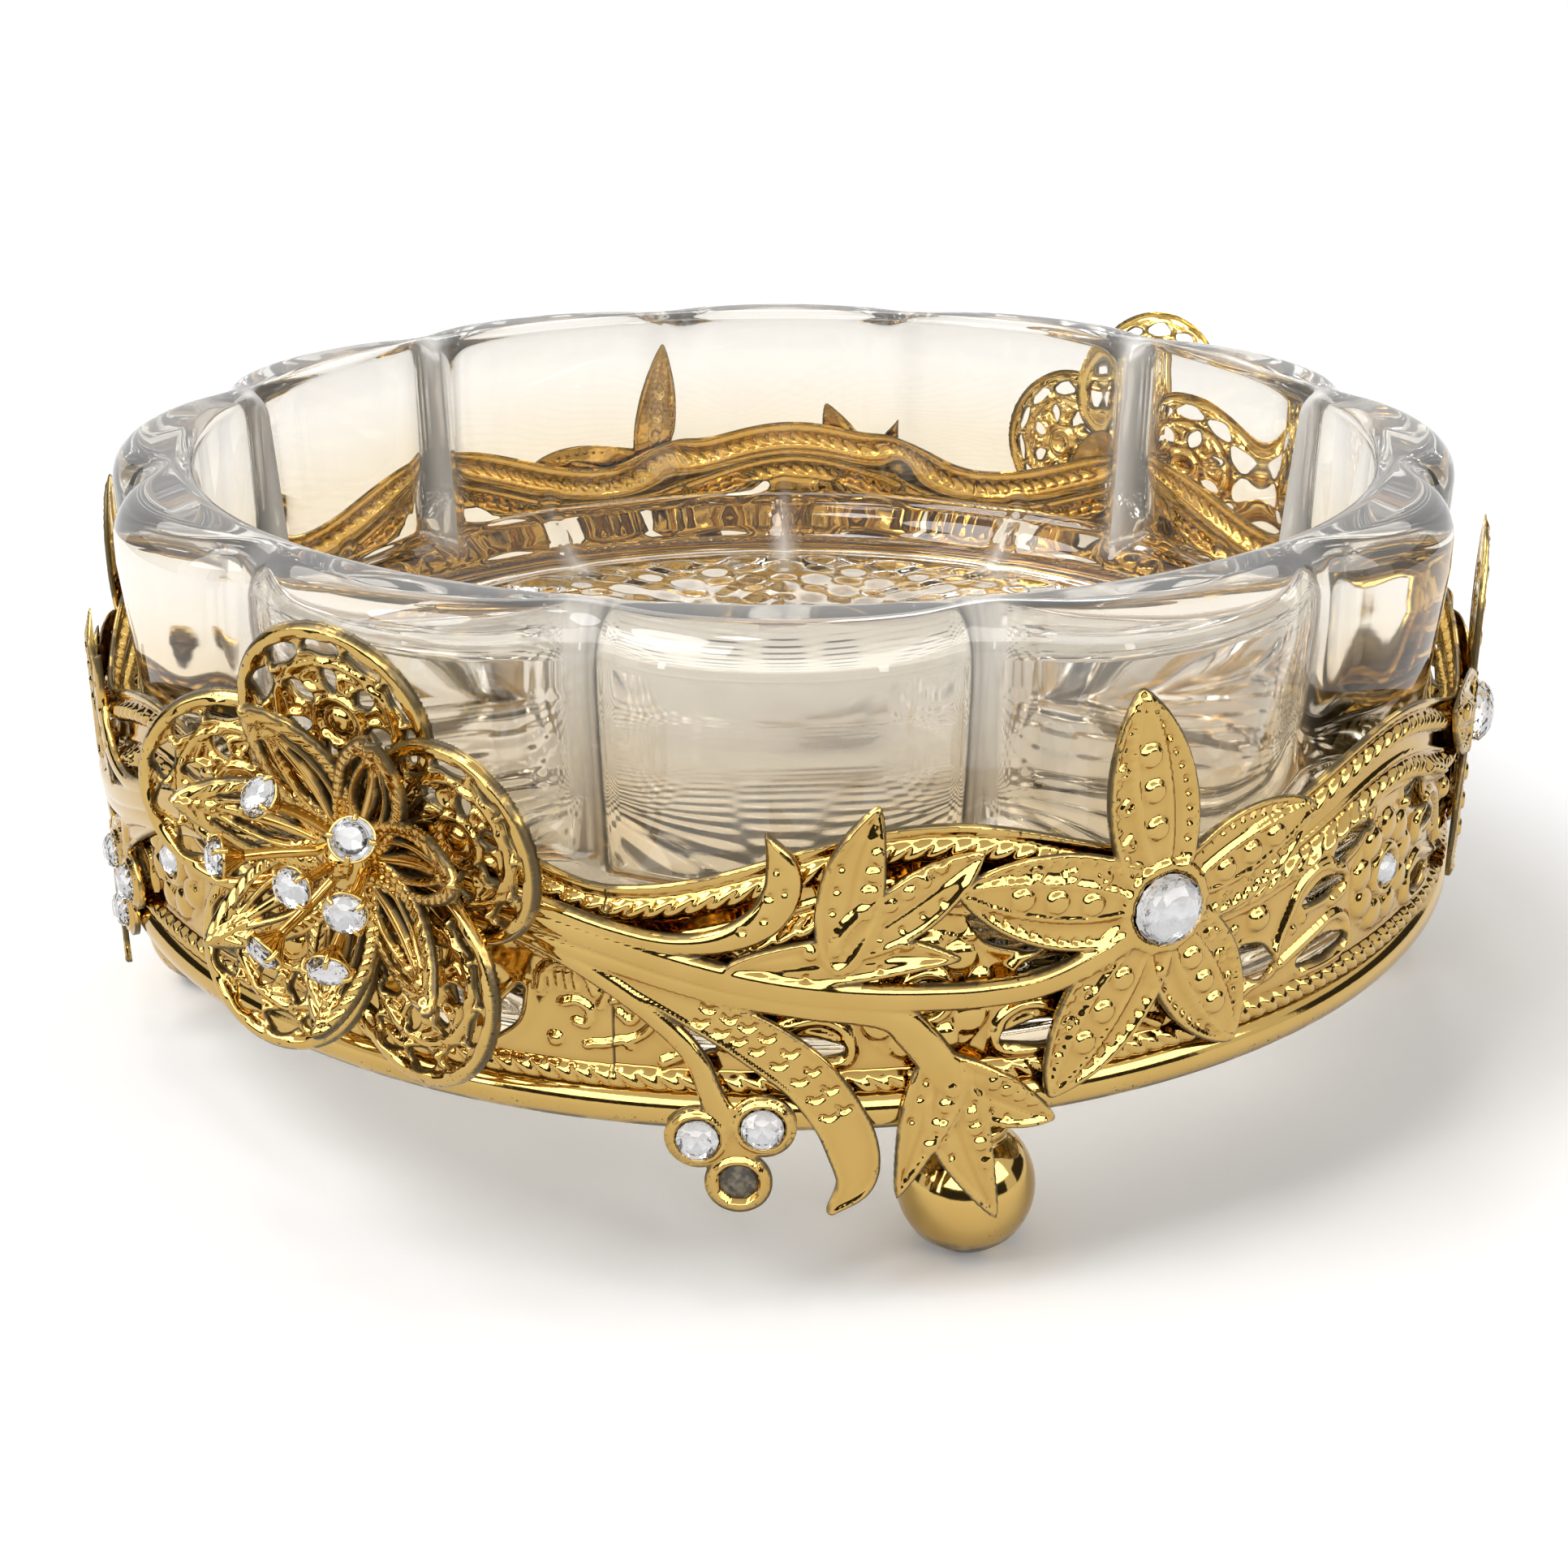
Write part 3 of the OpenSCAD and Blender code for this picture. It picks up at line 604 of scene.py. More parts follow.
    def cells(self):
        """The grid cells inside the outline, none of them meeting at a corner alone."""
        g = self.gap
        keep = g[:-1, :-1] + g[1:, :-1] + g[:-1, 1:] + g[1:, 1:] < 0
        for _ in range(6):
            a, b, c, d = keep[:-1, :-1], keep[1:, 1:], keep[1:, :-1], keep[:-1, 1:]
            rising = a & b & ~c & ~d
            falling = c & d & ~a & ~b
            keep[1:, :-1] |= rising
            keep[:-1, :-1] |= falling
        return keep

    def pull_to_outline(self, uv, edge):
        """Moves the points of the edge off the grid and onto the outline."""
        slope = np.gradient(self.gap, self.step)
        for _ in range(2):
            gap = self.sample(self.gap, uv[edge])
            way = np.stack([self.sample(s, uv[edge]) for s in slope], axis=-1)
            move = -gap[:, None] * way / np.maximum((way**2).sum(axis=1), 0.2)[:, None]
            uv[edge] += np.clip(move, -self.step, self.step)

    def softened(self):
        """The face with its fine relief smoothed away."""
        soft = self.face.copy()
        for _ in range(10):
            for axis in (0, 1):
                soft = (np.roll(soft, 1, axis) + 2 * soft + np.roll(soft, -1, axis)) / 4
        return soft

    def form(self, thickness):
        """The sheet as a closed form of (u, v, out), with marks for painted shade in its recesses, painted
        light on its back, and its worn edges.
        """
        keep = self.cells()
        used = np.zeros(self.u.shape, bool)
        for i in (0, 1):
            for j in (0, 1):
                used[i : used.shape[0] - 1 + i, j : used.shape[1] - 1 + j] |= keep
        number = np.cumsum(used.ravel()).reshape(used.shape) - 1
        corner = [number[:-1, :-1], number[1:, :-1], number[1:, 1:], number[:-1, 1:]]
        front = np.stack([c[keep] for c in corner], axis=-1)
        rim = open_sides(keep, corner)
        uv = np.stack([self.u[used], self.v[used]], axis=-1)
        self.pull_to_outline(uv, np.unique(rim))
        out = self.sample(self.face, uv)
        # Painted shade: how far the face lies below its smoothed relief
        recess = np.clip((self.sample(self.softened(), uv) - out) / self.PAINTED_SHADE_DEPTH, 0, 1)
        wear = step_up(self.sample(self.gap, uv), -self.WEAR_WIDTH, 0)
        count = len(uv)
        back = np.maximum(out - thickness, 0)
        points = np.vstack([np.column_stack([uv, out]), np.column_stack([uv, back])])
        a, b = rim.T
        walls = np.stack([a + count, b + count, b, a], axis=-1)
        faces = [(front, 0), (front[:, ::-1] + count, 0), (walls, 0)]
        none = np.zeros(count)
        # Marks: painted shade in front recesses, painted light on the whole back, and worn edges
        marks = {
            "recess": np.concatenate([recess * self.PAINTED_SHADE_SHARE, none]),
            "wear": np.concatenate([wear, wear]),
            "inside": np.concatenate([none, none + self.BACK_PAINTED_LIGHT_SHARE]),
        }
        return Form(points, faces, marks)


def flipped(points, side):
    """The points of a drawing, or with a side of -1 their mirror image."""
    return [(side * x, *rest) for x, *rest in points]


def spot(run, share, offset):
    """A place beside a run: this share along it and so far to its left."""
    at = share * (len(run) - 1)
    i = min(int(at), len(run) - 2)
    way = run[i + 1][:2] - run[i][:2]
    way = way / np.linalg.norm(way)
    return run[i][:2] + (run[i + 1][:2] - run[i][:2]) * (at - i) + offset * np.array([-way[1], way[0]])


# Glass dish


LOBES = 12
LOBE_SWELL = 1.6
NOTCH_DEPTH = 2.2
NOTCH_HALF = 5.0
GLASS_STEPS = LOBES * 36
GLASS_FOOT_R = 62.0
FOOT_RIM_W = 5.0
FOOT_ROUND = 0.8
UNDERSIDE = 2.0
RIM_ROUND = 4.0
RIM_INNER_ROUND = 3.0
RIM_BAND = 2.0
INNER_R = GLASS_R - 10.0
INNER_LEAN = 1.5
FLOOR_Z = SEAT_Z + 11.0
FLOOR_COVE = 5.0
BAY_R = INNER_R + 1.2
BAY_TOP = RIM_Z - 0.3
BAY_FOOT_UP = 4.0
RIB_HALF = 1.0
BAY_PAIRS = 3
GROOVE_FROM = SEAT_Z + 15.0
GROOVE_FULL = SEAT_Z + 24.0
STAR_POINTS = 12
STAR_DEPTH = 2.0
STAR_R = 50.0
STAR_FROM = 15.0
CUT_RAYS = 36
CUT_DEPTH = 0.55
# Radii between which the cuts fade in, and out again
CUT_IN = (2.0, 12.0)
CUT_OUT = (53.0, 55.5)
SPIKE_HALF = 2.2
SPIKE_DEPTH = 1.3
SPIKE_UP = 8.0
# Shares of the painted reflection of the gilt, a honey tint inside and outside, and of milky finish on ribs,
# star, grooves and rim
PAINTED_GILT_REFLECTION_INSIDE = 0.06
PAINTED_GILT_REFLECTION_OUTSIDE = 0.75
RIB_FROST = 0.8
STAR_FROST = 0.5
GROOVE_FROST = 0.15
RIM_FROST = 0.1
# Keeps the ripples within the size of the glass
RIPPLE_ROOM = 0.1


def turn_from_nearest(turn, pitch):
    """Signed turn from the nearest of the places that stand this far apart, the first at the front."""
    return np.mod(turn + pitch / 2, pitch) - pitch / 2


def lobe_drop(turn):
    """How far the lobed outside lies inside a plain round one."""
    pitch = 2 * np.pi / LOBES
    swell = (1 - np.cos(turn * LOBES)) / 2
    notch = bell(turn_from_nearest(turn + pitch / 2, pitch) * GLASS_R / NOTCH_HALF)
    return LOBE_SWELL * swell + NOTCH_DEPTH * notch


def from_rib(turn):
    """Distance along the inner wall from the nearest rib's middle."""
    local = turn_from_nearest(turn, 2 * np.pi / BAY_PAIRS)
    return np.abs(np.abs(local) - np.pi / LOBES) * INNER_R


def inner_bay(turn, z):
    """Share of a bay at a place of the inner wall, 0 on the ribs, and the bay's radius there."""
    local = turn_from_nearest(turn, 2 * np.pi / BAY_PAIRS)
    inside = np.minimum(from_rib(turn) - RIB_HALF, z - FLOOR_Z - BAY_FOOT_UP)
    radius = np.where(np.abs(local) < np.pi / LOBES, BAY_R / np.cos(local), BAY_R)
    return step_up(np.minimum(inside, BAY_TOP - z), -1.0, 1.0), radius


def ripple(turn, z):
    """The slight unevenness of pressed glass."""
    return 0.04 * np.sin(5 * turn + 0.2 * z) + 0.025 * np.sin(13 * turn - 0.3 * z)


def saw(x):
    """Straight-sided waves, 0 to 1, one in each unit."""
    return np.abs(2 * np.mod(x, 1) - 1)


def star_cut(turn, radius):
    """Height of the star and of the diamond cuts between its points, in the underside."""
    point = np.abs(turn_from_nearest(turn, 2 * np.pi / STAR_POINTS)) * STAR_POINTS / np.pi
    out = math.log(radius / STAR_R)
    diamonds = saw(CUT_RAYS * (turn + out) / (2 * np.pi)) + saw(CUT_RAYS * (turn - out) / (2 * np.pi))
    fade = step_up(radius, *CUT_IN) * (1 - step_up(radius, *CUT_OUT))
    star = STAR_DEPTH * (1 - point) * step_up(radius, STAR_FROM, STAR_R)
    return fade * (star + CUT_DEPTH * radius / STAR_R * diamonds)


def spike(turn, z):
    """The points of the star where they climb the foot of the inner wall, 0 to 1."""
    off = np.abs(turn_from_nearest(turn, 2 * np.pi / STAR_POINTS)) * INNER_R / SPIKE_HALF
    up = np.clip((z - FLOOR_Z) / SPIKE_UP, 0, 1)
    return np.clip(1 - up - off, 0, 1)


def underside_rows(turn):
    """The cut hollow under the dish, then the rim that it stands on."""
    hollow_r = GLASS_FOOT_R - FOOT_RIM_W
    cut = [(r, SEAT_Z + UNDERSIDE + star_cut(turn, r)) for r in np.linspace(1, hollow_r - 0.6, 90)]
    foot = [(hollow_r, UNDERSIDE - 0.3), (hollow_r + 0.1, 0.4), (hollow_r + 0.5, 0), (GLASS_FOOT_R - 2, 0)]
    edge = arc((GLASS_FOOT_R - FOOT_ROUND, SEAT_Z + FOOT_ROUND), FOOT_ROUND, -80, 0, 4)
    return cut + [(r, SEAT_Z + z) for r, z in foot] + list(edge)


def outside_rows(turn):
    """The lobed wall and the outer half of the rounded rim."""
    drop = lobe_drop(turn)
    lean_z = RIM_Z - RIM_ROUND - RIM_BAND
    rows = []
    for z in np.linspace(SEAT_Z + 2 * FOOT_ROUND, lean_z, 34):
        r = GLASS_FOOT_R + (GLASS_R - GLASS_FOOT_R) * (z - SEAT_Z) / (lean_z - SEAT_Z)
        rows.append((r - drop * step_up(z, GROOVE_FROM, GROOVE_FULL) + ripple(turn, z) - RIPPLE_ROOM, z))
    for r, z in arc((GLASS_R - RIM_ROUND, RIM_Z - RIM_ROUND), RIM_ROUND, 0, 90, 12):
        inward = (GLASS_R - r) / RIM_ROUND
        rows.append((r - drop * (1 - 0.25 * inward) + ripple(turn, z) - RIPPLE_ROOM, z))
    return rows


def inside_rows(turn):
    """The inner half of the rim, the wall with its ribs and bays, the cove and the floor."""
    wall_foot = FLOOR_Z + FLOOR_COVE
    wall_top = RIM_Z - RIM_INNER_ROUND
    cove_r = INNER_R - INNER_LEAN - FLOOR_COVE
    rim = arc((INNER_R + RIM_INNER_ROUND, wall_top), RIM_INNER_ROUND, 90, 180, 14)
    down = np.linspace(0, 1, 30)[1:]
    wall = np.column_stack([INNER_R - INNER_LEAN * down, wall_top - (wall_top - wall_foot) * down])
    cove = arc((cove_r, wall_foot), FLOOR_COVE, 0, -90, 9)[1:]
    rows = []
    for r, z in np.vstack([rim, wall, cove]):
        share, bay = inner_bay(turn, z)
        uneven = r + np.maximum(bay - r, 0) * share + 0.6 * ripple(turn, z)
        rows.append((uneven - SPIKE_DEPTH * spike(turn, z), z))
    return rows + [(r, FLOOR_Z) for r in np.linspace(cove_r, 1, 26)[1:]]


def glass_marks(form):
    """Where the glass carries the painted reflection of the gilt, and where it is milky or soft."""
    x, y, z = form.points.T
    r = np.hypot(x, y)
    turn = np.arctan2(x, -y)
    outside = step_up(r, INNER_R + 1, INNER_R + 4)
    rim = step_up(z, RIM_Z - RIM_ROUND - 2, RIM_Z - 2)
    rib = bell(from_rib(turn) / 2) * step_up(z, FLOOR_Z + 2, FLOOR_Z + 6) * (1 - outside)
    star = spike(turn, z) * (r > INNER_R - 9) * (1 - outside)
    groove = bell(turn_from_nearest(turn + np.pi / LOBES, 2 * np.pi / LOBES) * GLASS_R / 1.8)
    groove *= outside * step_up(z, GROOVE_FROM, GROOVE_FULL)
    # Painted reflection of the gilt: a honey tint, stronger outside, fading out towards the rim
    warm = (PAINTED_GILT_REFLECTION_INSIDE + PAINTED_GILT_REFLECTION_OUTSIDE * outside) * (1 - step_up(z, FLOOR_Z + 10, RIM_Z - 3))
    form.marked("warm", warm)
    form.marked("frost", RIB_FROST * rib + STAR_FROST * star + GROOVE_FROST * groove + RIM_FROST * rim)
    return form.marked("soft", outside * (1 - rim))


def glass_form():
    turn = np.arange(GLASS_STEPS) * 2 * np.pi / GLASS_STEPS
    rows = underside_rows(turn) + outside_rows(turn) + inside_rows(turn)
    radius, height = (np.array([np.broadcast_to(x, GLASS_STEPS) for x in part]) for part in zip(*rows))
    low = [[0, 0, SEAT_Z + UNDERSIDE]]
    form = capped(len(rows), GLASS_STEPS, turned_rows(radius, height), low, [[0, 0, FLOOR_Z]])
    return glass_marks(form)


def glass_dish():
    make_piece("glass_dish_pressed", glass_form(), [GLASS], "dish", ["glass_dish"])


# Ring, feet and screws


LEDGE_IN_R = 55.2
LEDGE_T = 1.6
LEDGE_ROUND = 0.4
# The ledge stays just below the screw heads
LEDGE_TOP = SEAT_Z - 0.15
BALL_D = 11.6
BALL_FLAT_D = 3.4
NECK_D = 5.6
FOOT_RING_R = 59.4
SCREW_HEAD_D = 4.3
SCREW_LENGTH = 8.0
SCREW_SINK = 0.1
SCREW_SLOT_HALF = 0.32
SCREW_SLOT_DEPTH = 0.5


def base_ring():
    middle = (RAIL_OUT_R - RAIL_D / 2, RAIL_Z)
    top = math.degrees(math.asin(GALLERY_LOW / (RAIL_D / 2)))
    low_z = SEAT_Z - LEDGE_T
    profile = np.vstack(
        [
            arc((LEDGE_IN_R + LEDGE_ROUND, low_z + LEDGE_ROUND), LEDGE_ROUND, 180, 270, 5),
            arc(middle, RAIL_D / 2, 222, 360 + top, 40),
            arc(middle, RAIL_D / 2, 180 - top, 172, 6),
            arc((LEDGE_IN_R + LEDGE_ROUND, LEDGE_TOP - LEDGE_ROUND), LEDGE_ROUND, 90, 180, 5),
        ]
    )
    form = revolved(profile, 480)
    below = RAIL_Z - form.points[:, 2]
    form.marked("wear", step_up(below, -0.4, 1.6))
    gilt_piece("base_ring", form)


def foot_places():
    for turn, side in HANDS.values():
        a = math.radians(turn + side * FOOT_TURN)
        yield np.array([FOOT_RING_R * math.sin(a), -FOOT_RING_R * math.cos(a), 0])


def ball_foot(node, place):
    """A ball on a small flat, with a rolled collar under its neck."""
    r = BALL_D / 2
    half_flat = math.degrees(math.asin(BALL_FLAT_D / 2 / r))
    middle = r * math.cos(math.radians(half_flat))
    neck_turn = math.degrees(math.acos(NECK_D / 2 / r))
    neck_z = middle + r * math.sin(math.radians(neck_turn))
    top = SEAT_Z - LEDGE_T
    ball = arc((0, middle), r, half_flat - 90, neck_turn - 4, 40)
    collar = arc((NECK_D / 2 + 0.1, neck_z + 0.7), 0.6, -60, 90, 8)
    neck = [[NECK_D / 2, neck_z + 1.6], [NECK_D / 2, top], [0, top]]
    form = revolved(np.vstack([[[0, 0]], ball, collar, neck]), 96)
    form.marked("wear", 1 - step_up(form.points[:, 2], 1, 6))
    gilt_piece(node, form.moved(lambda p: p + place))


def foot_screws():
    """Countersunk screws with a slot across the head."""
    r = SCREW_HEAD_D / 2
    head_z = SEAT_Z - SCREW_SINK
    low = -SCREW_LENGTH
    profile = [[0, low], [1.1, low], [1.15, -1.2], [r, -0.1], [r - 0.1, 0], [r - 0.6, 0], [0, 0]]
    forms = []
    for place in foot_places():
        screw = revolved(profile, 48)
        slot = (np.abs(screw.points[:, 0]) < SCREW_SLOT_HALF) & (screw.points[:, 2] > -0.05)
        screw.points[slot, 2] -= SCREW_SLOT_DEPTH
        forms.append(screw.moved(lambda p, at=place: p + at + [0, 0, head_z]))
    gilt_piece("foot_screws", joined(forms))


# Gallery


GALLERY_STEP = 0.22
CREST_UP = 23.9
DIP_UP = 18.8
FILLER_RISE = 0.7
FILLER_TURN = 360 - GALLERY_PANELS * PANEL_PITCH
ROPE_HALF = 0.85
ROPE_HEIGHT = 0.75
# Distance of the ropes below the wavy edge
ROPES_DOWN = (1.95, 5.9)
# Fine lines and a channel along the wavy edge: distance below it, half width, height
EDGE_LINES = [(0.3, 0.5, 0.25), (3.4, 0.7, -0.12), (4.45, 0.22, 0.22), (7.1, 0.22, 0.22)]
BEADS_PER_PANEL = 30
FOOT_ROPE_UP = 2.5
FOOT_ROPE_HALF = 0.9
# The sunk field between the ropes: distance below the wavy edge, least height, depth
FIELD_DOWN = 7.4
FIELD_UP = 3.5
FIELD_SINK = 0.1
ROSETTE_UP = 9.6
ROSETTE_R = 5.5
ROSETTE_STONE_D = 2.9
ROSETTE_STONE_DEPTH = 0.35
ROSETTE_STONE_UP = 0.4
ROSETTE_PETALS = 9
ROSETTE_PETAL_AT = 4.0
GALLERY_FACE = 0.55
GALLERY_SHEET = 0.4
# Lines in relief: half width, height
WIRE_LINE = (0.5, 0.45)
MOTIF_LINE = (0.36, 0.4)
COMB_LINE = (0.22, 0.3)
# Beads: radius, height
BUD_BEAD = (1.15, 0.75)
DOT_BEAD = (0.45, 0.3)
FILLER_BEAD = (0.65, 0.5)
ROSETTE_BEAD = (1.45, 0.55)
# Openings and wires on one side of a panel: distance from the crest, height, half width
GALLERY_OPENINGS = [
    [(3.6, 15.9, 0.5), (5.4, 14.9, 1.3), (7.4, 13.8, 1.0), (8.6, 13.0, 0.3)],
    [(7.6, 11.0, 0.5), (10, 11.0, 0.95), (12.2, 10.4, 0.4)],
    [(6.6, 5.4, 0.5), (9.4, 5.5, 1.05), (12.4, 5.1, 0.4)],
    [(16.4, 5.9, 0.6), (18.0, 6.8, 1.5), (19.4, 8.0, 0.7)],
]
GALLERY_WIRES = [
    [(20, 4), (16.5, 6), (14.6, 9.5), (12.8, 12.3), (10, 13.2), (7.2, 11.9), (7.0, 10), (8.6, 9.4)],
    [(15, 5.7), (11, 7.2), (8, 8), (5.9, 6.6), (6.2, 4.2), (12, 3.9)],
    [(3.2, 14.4), (6.6, 16.6), (10, 15.6), (14, 13.6)],
]
GALLERY_BUDS = [(18, 10.7)]
GALLERY_DOTS = [(13.6, 8.4), (12.4, 9), (20.6, 10.4), (14.2, 15.4), (16.8, 14.6), (22.6, 5.2)]
# From the crest of a panel to the middle of the filler beside it
FILLER_SPAN = 36.3
FILLER_SLOT = [(0, 5, 0.4), (0, 8.6, 1.1), (0, 12.2, 0.3)]
FILLER_SIDE_SLOT = [(2.2, 5, 0.4), (3.6, 7, 0.9), (4.6, 9.2, 0.3)]
FILLER_DOTS = [(7.4, 5.2)]
COMB_AT = 27.0
COMB_PITCH = 0.7
COMB_TEETH = 4
COMB_TOOTH = [(0, 9.6), (-0.1, 10.4), (-0.2, 11.1)]
# The leaf that spans the joint of two stretches, by distance from a crest
END_MOTIF = [
    [(30.1, 9.4), (29.6, 11.2), (27.9, 11.9), (26.2, 11.0), (25.6, 9.6)],
    [(28.2, 8.4), (27, 8.7), (26, 8), (26.3, 6.8), (27.2, 6.9)],
    [(25.2, 8.4), (24.2, 10.4), (22.6, 10.9), (21, 9.6), (20.6, 7.6), (22, 6), (24.2, 5.4), (26.4, 5)],
    [(24, 9), (22.8, 9.4), (21.9, 8.3), (22.6, 7.3), (23.4, 8)],
]


def rope(phase, offset, half):
    """Twisted rope in relief: slanting lumps with sharp valleys, 0 to 1."""
    lump = np.mod(phase + 0.45 * offset / half, 1) * 2 - 1
    return dome(np.clip(offset / half, -1, 1)) * (0.15 + 0.85 * dome(lump * 0.97))


def gallery_art(turn, rise, beads):
    """What every stretch of gallery has: its wavy edge, two ropes below it and one along its foot."""
    half = math.radians(turn) / 2 * GALLERY_OUT_R
    art = Stamping((-half, GALLERY_LOW - 0.5), (half, CREST_UP + 0.6), GALLERY_STEP)
    wave = (1 + np.cos(np.pi * art.u / half)) / 2
    edge = DIP_UP + rise * (CREST_UP - DIP_UP) * wave
    slope = rise * (CREST_UP - DIP_UP) * np.pi / (2 * half) * np.sin(np.pi * art.u / half)
    below = (edge - art.v) / np.sqrt(1 + slope**2)
    phase = beads * art.u / (2 * half)
    low = GALLERY_LOW - art.v
    ends = np.abs(art.u) - half
    art.gap = np.maximum(np.maximum(-below, low), ends)
    art.face += GALLERY_FACE
    for down, wide, height in EDGE_LINES:
        art.face += height * bell((below - down) / wide)
    for down in ROPES_DOWN:
        art.face += ROPE_HEIGHT * rope(phase, below - down, ROPE_HALF)
    art.face += ROPE_HEIGHT * rope(phase + 0.5, art.v - FOOT_ROPE_UP, FOOT_ROPE_HALF)
    return art, below


def rosette(art):
    """A ring of round petals about a cup, on a disc."""
    middle = (0, ROSETTE_UP)
    art.face = np.where(art.distance(middle) < ROSETTE_R, GALLERY_FACE + 0.05, art.face)
    for k in range(ROSETTE_PETALS):
        art.dot(middle + polar(ROSETTE_PETAL_AT, 90 + k * 360 / ROSETTE_PETALS), *ROSETTE_BEAD)
    art.ring(middle, 2.05, 0.5, 0.5)
    art.seat(middle, 1.5, STONE_SEAT)


def gallery_panel_form():
    art, below = gallery_art(PANEL_PITCH, 1, BEADS_PER_PANEL)
    field = (below > FIELD_DOWN) & (art.v > FIELD_UP)
    art.face -= np.where(field, FIELD_SINK, 0)
    for side in (-1, 1):
        for opening in GALLERY_OPENINGS:
            art.pierce(flipped(opening, side))
        for wire in GALLERY_WIRES:
            art.emboss(flipped(wire, side), *WIRE_LINE)
        for line in END_MOTIF:
            art.emboss(flipped(line, side), *MOTIF_LINE)
        for places, bead in ((GALLERY_BUDS, BUD_BEAD), (GALLERY_DOTS, DOT_BEAD)):
            for place in flipped(places, side):
                art.dot(place, *bead)
    rosette(art)
    return art.form(GALLERY_SHEET)


def filler_form():
    art, _ = gallery_art(FILLER_TURN, FILLER_RISE, BEADS_PER_PANEL // 2)
    art.pierce(FILLER_SLOT)
    for side in (-1, 1):
        art.pierce(flipped(FILLER_SIDE_SLOT, side))
        for line in END_MOTIF:
            art.emboss(flipped([(FILLER_SPAN - x, v) for x, v in line], side), *MOTIF_LINE)
        for k in range(COMB_TEETH):
            x = FILLER_SPAN - COMB_AT - k * COMB_PITCH
            art.emboss(flipped([(x + along, v) for along, v in COMB_TOOTH], side), *COMB_LINE)
        for place in flipped(FILLER_DOTS, side):
            art.dot(place, *FILLER_BEAD)
    return art.form(GALLERY_SHEET)


def gallery():
    panel = gallery_panel_form()
    for i in range(GALLERY_PANELS):
        turn = FIRST_CREST + i * PANEL_PITCH
        gilt_piece(f"gallery_panel_{i + 1}", panel.moved(on_wall(turn, GALLERY_IN_R)))
    filler_turn = FIRST_CREST - PANEL_PITCH / 2 - FILLER_TURN / 2
    gilt_piece("gallery_filler", filler_form().moved(on_wall(filler_turn, GALLERY_IN_R)))


# Sprays


SPRAY_STEP = 0.2
SPRAY_LOW = (-8, -11.4)
SPRAY_HIGH = (84, 35.5)
SPRAY_SHEET = 0.5
SPRAY_EASE = 0.12
SHEET = 0.2
LEAF_FACE = 0.22
LEAST_FACE = 0.06
RIDGE = 0.85
LEAF_EDGE = 0.3
LEAF_CREASE = 0.16
# The tops of leaves and petals lean back: lift below, drop at the top, height of the lean
LEAF_LIFT = 0.28
LEAF_LEAN = 0.55
LEAF_LEAN_UP = 2.4
PETAL_LIFT = 0.12
PETAL_LEAN = 0.45
PETAL_LEAN_UP = 2.0
BERRY_RISE = 6.0
RISE_FROM = 14.0
RISE_FULL = 4.0
SEAT_AT = (1.0, 19.6)
SEAT_R = 7.5
FLOWER_AT = np.array([64.8, 15.1])
# Petals of the leaf flower: direction, length, side of the scrolls
FLOWER_PETALS = [(99.5, 18.6, 1), (168, 17.8, -1), (238, 17.6, -1), (300, 15.9, 1), (18.5, 16.3, -1)]
PETAL_HALF = 4.0
# Beads and pin marks: radius, height
LEAF_BEAD = (0.6, 0.45)
LEAF_PIN = (0.3, -0.3)
PETAL_BEAD = (0.95, 0.62)
PETAL_GRAIN = (0.28, 0.24)
PETAL_PIN = (0.26, -0.3)
BEZEL_R = 3.7
BERRIES = [(27.8, -1.6), (32.8, -0.5), (30.9, -5.5)]
BERRY_CUP_R = 2.65
BERRY_STONE_D = 3.4
FLOWER_STONE_D = 5.9
SPRAY_STONE_DEPTH = 0.4
SPRAY_STONE_UP = 0.45
LOST_STONE = ("front_right", 2)
# Height of the seat under a stone above the back of the sheet
STONE_SEAT = 0.2
# Strands along the wall from the filigree flower: along, up, half width
MAIN_RIDGE = [
    (1, 18.9, 1.05), (8, 17.9, 1.05), (16, 16, 1.1), (21, 14.7, 1.1), (27, 13, 1.15), (33, 11.6, 1.15),
    (39, 10.7, 1.15), (45, 10.2, 1.15), (50, 10, 1.15), (55, 10.4, 1.15), (60, 12.2, 1.15), (63, 13.8, 1.1),
]
LOWER_BAND = [
    (1, 17.3, 0.9), (16, 14.4, 0.9), (22, 12.9, 0.95), (28, 11.3, 1.0), (35, 10, 1.1), (42, 9.0, 1.3),
    (44.5, 7, 1.5), (47, 3.5, 1.5), (48, 2.4, 1.4),
]
HOOK = [
    (1, 20.2, 0.7), (10, 18.5, 0.75), (16, 17.1, 0.8), (21, 15.7, 0.8), (25.5, 14.9, 0.8), (29.5, 15.2, 1.0),
    (32.6, 16.7, 1.35), (34.2, 19, 1.45), (34.3, 21.4, 1.2), (33.1, 24.2, 0.1),
]
HOOK_MARKS = [(31.4, 16.3), (33.0, 17.3), (33.4, 19.2), (34.5, 19.6), (33.9, 21.3)]
BERRY_STEM = [
    (1, 15.9, 0.85), (10, 15.6, 0.9), (15, 14.4, 0.9), (19, 12.5, 0.9), (23, 9.9, 0.9), (26.2, 7.1, 0.9),
    (27.9, 4.8, 0.9), (28.8, 2.2, 1.0), (30, -0.5, 1.2),
]
SCROLL = [
    (14, 15.3, 0.7), (20, 12.9, 0.9), (25.5, 10.4, 1.3), (29.5, 8.4, 1.7), (32.4, 6.8, 2.1), (36, 3.9, 2.15),
    (38.5, 0.4, 2.1), (39.8, -2.8, 2.05), (40, -5.7, 1.5), (38.2, -8.1, 0.45),
]
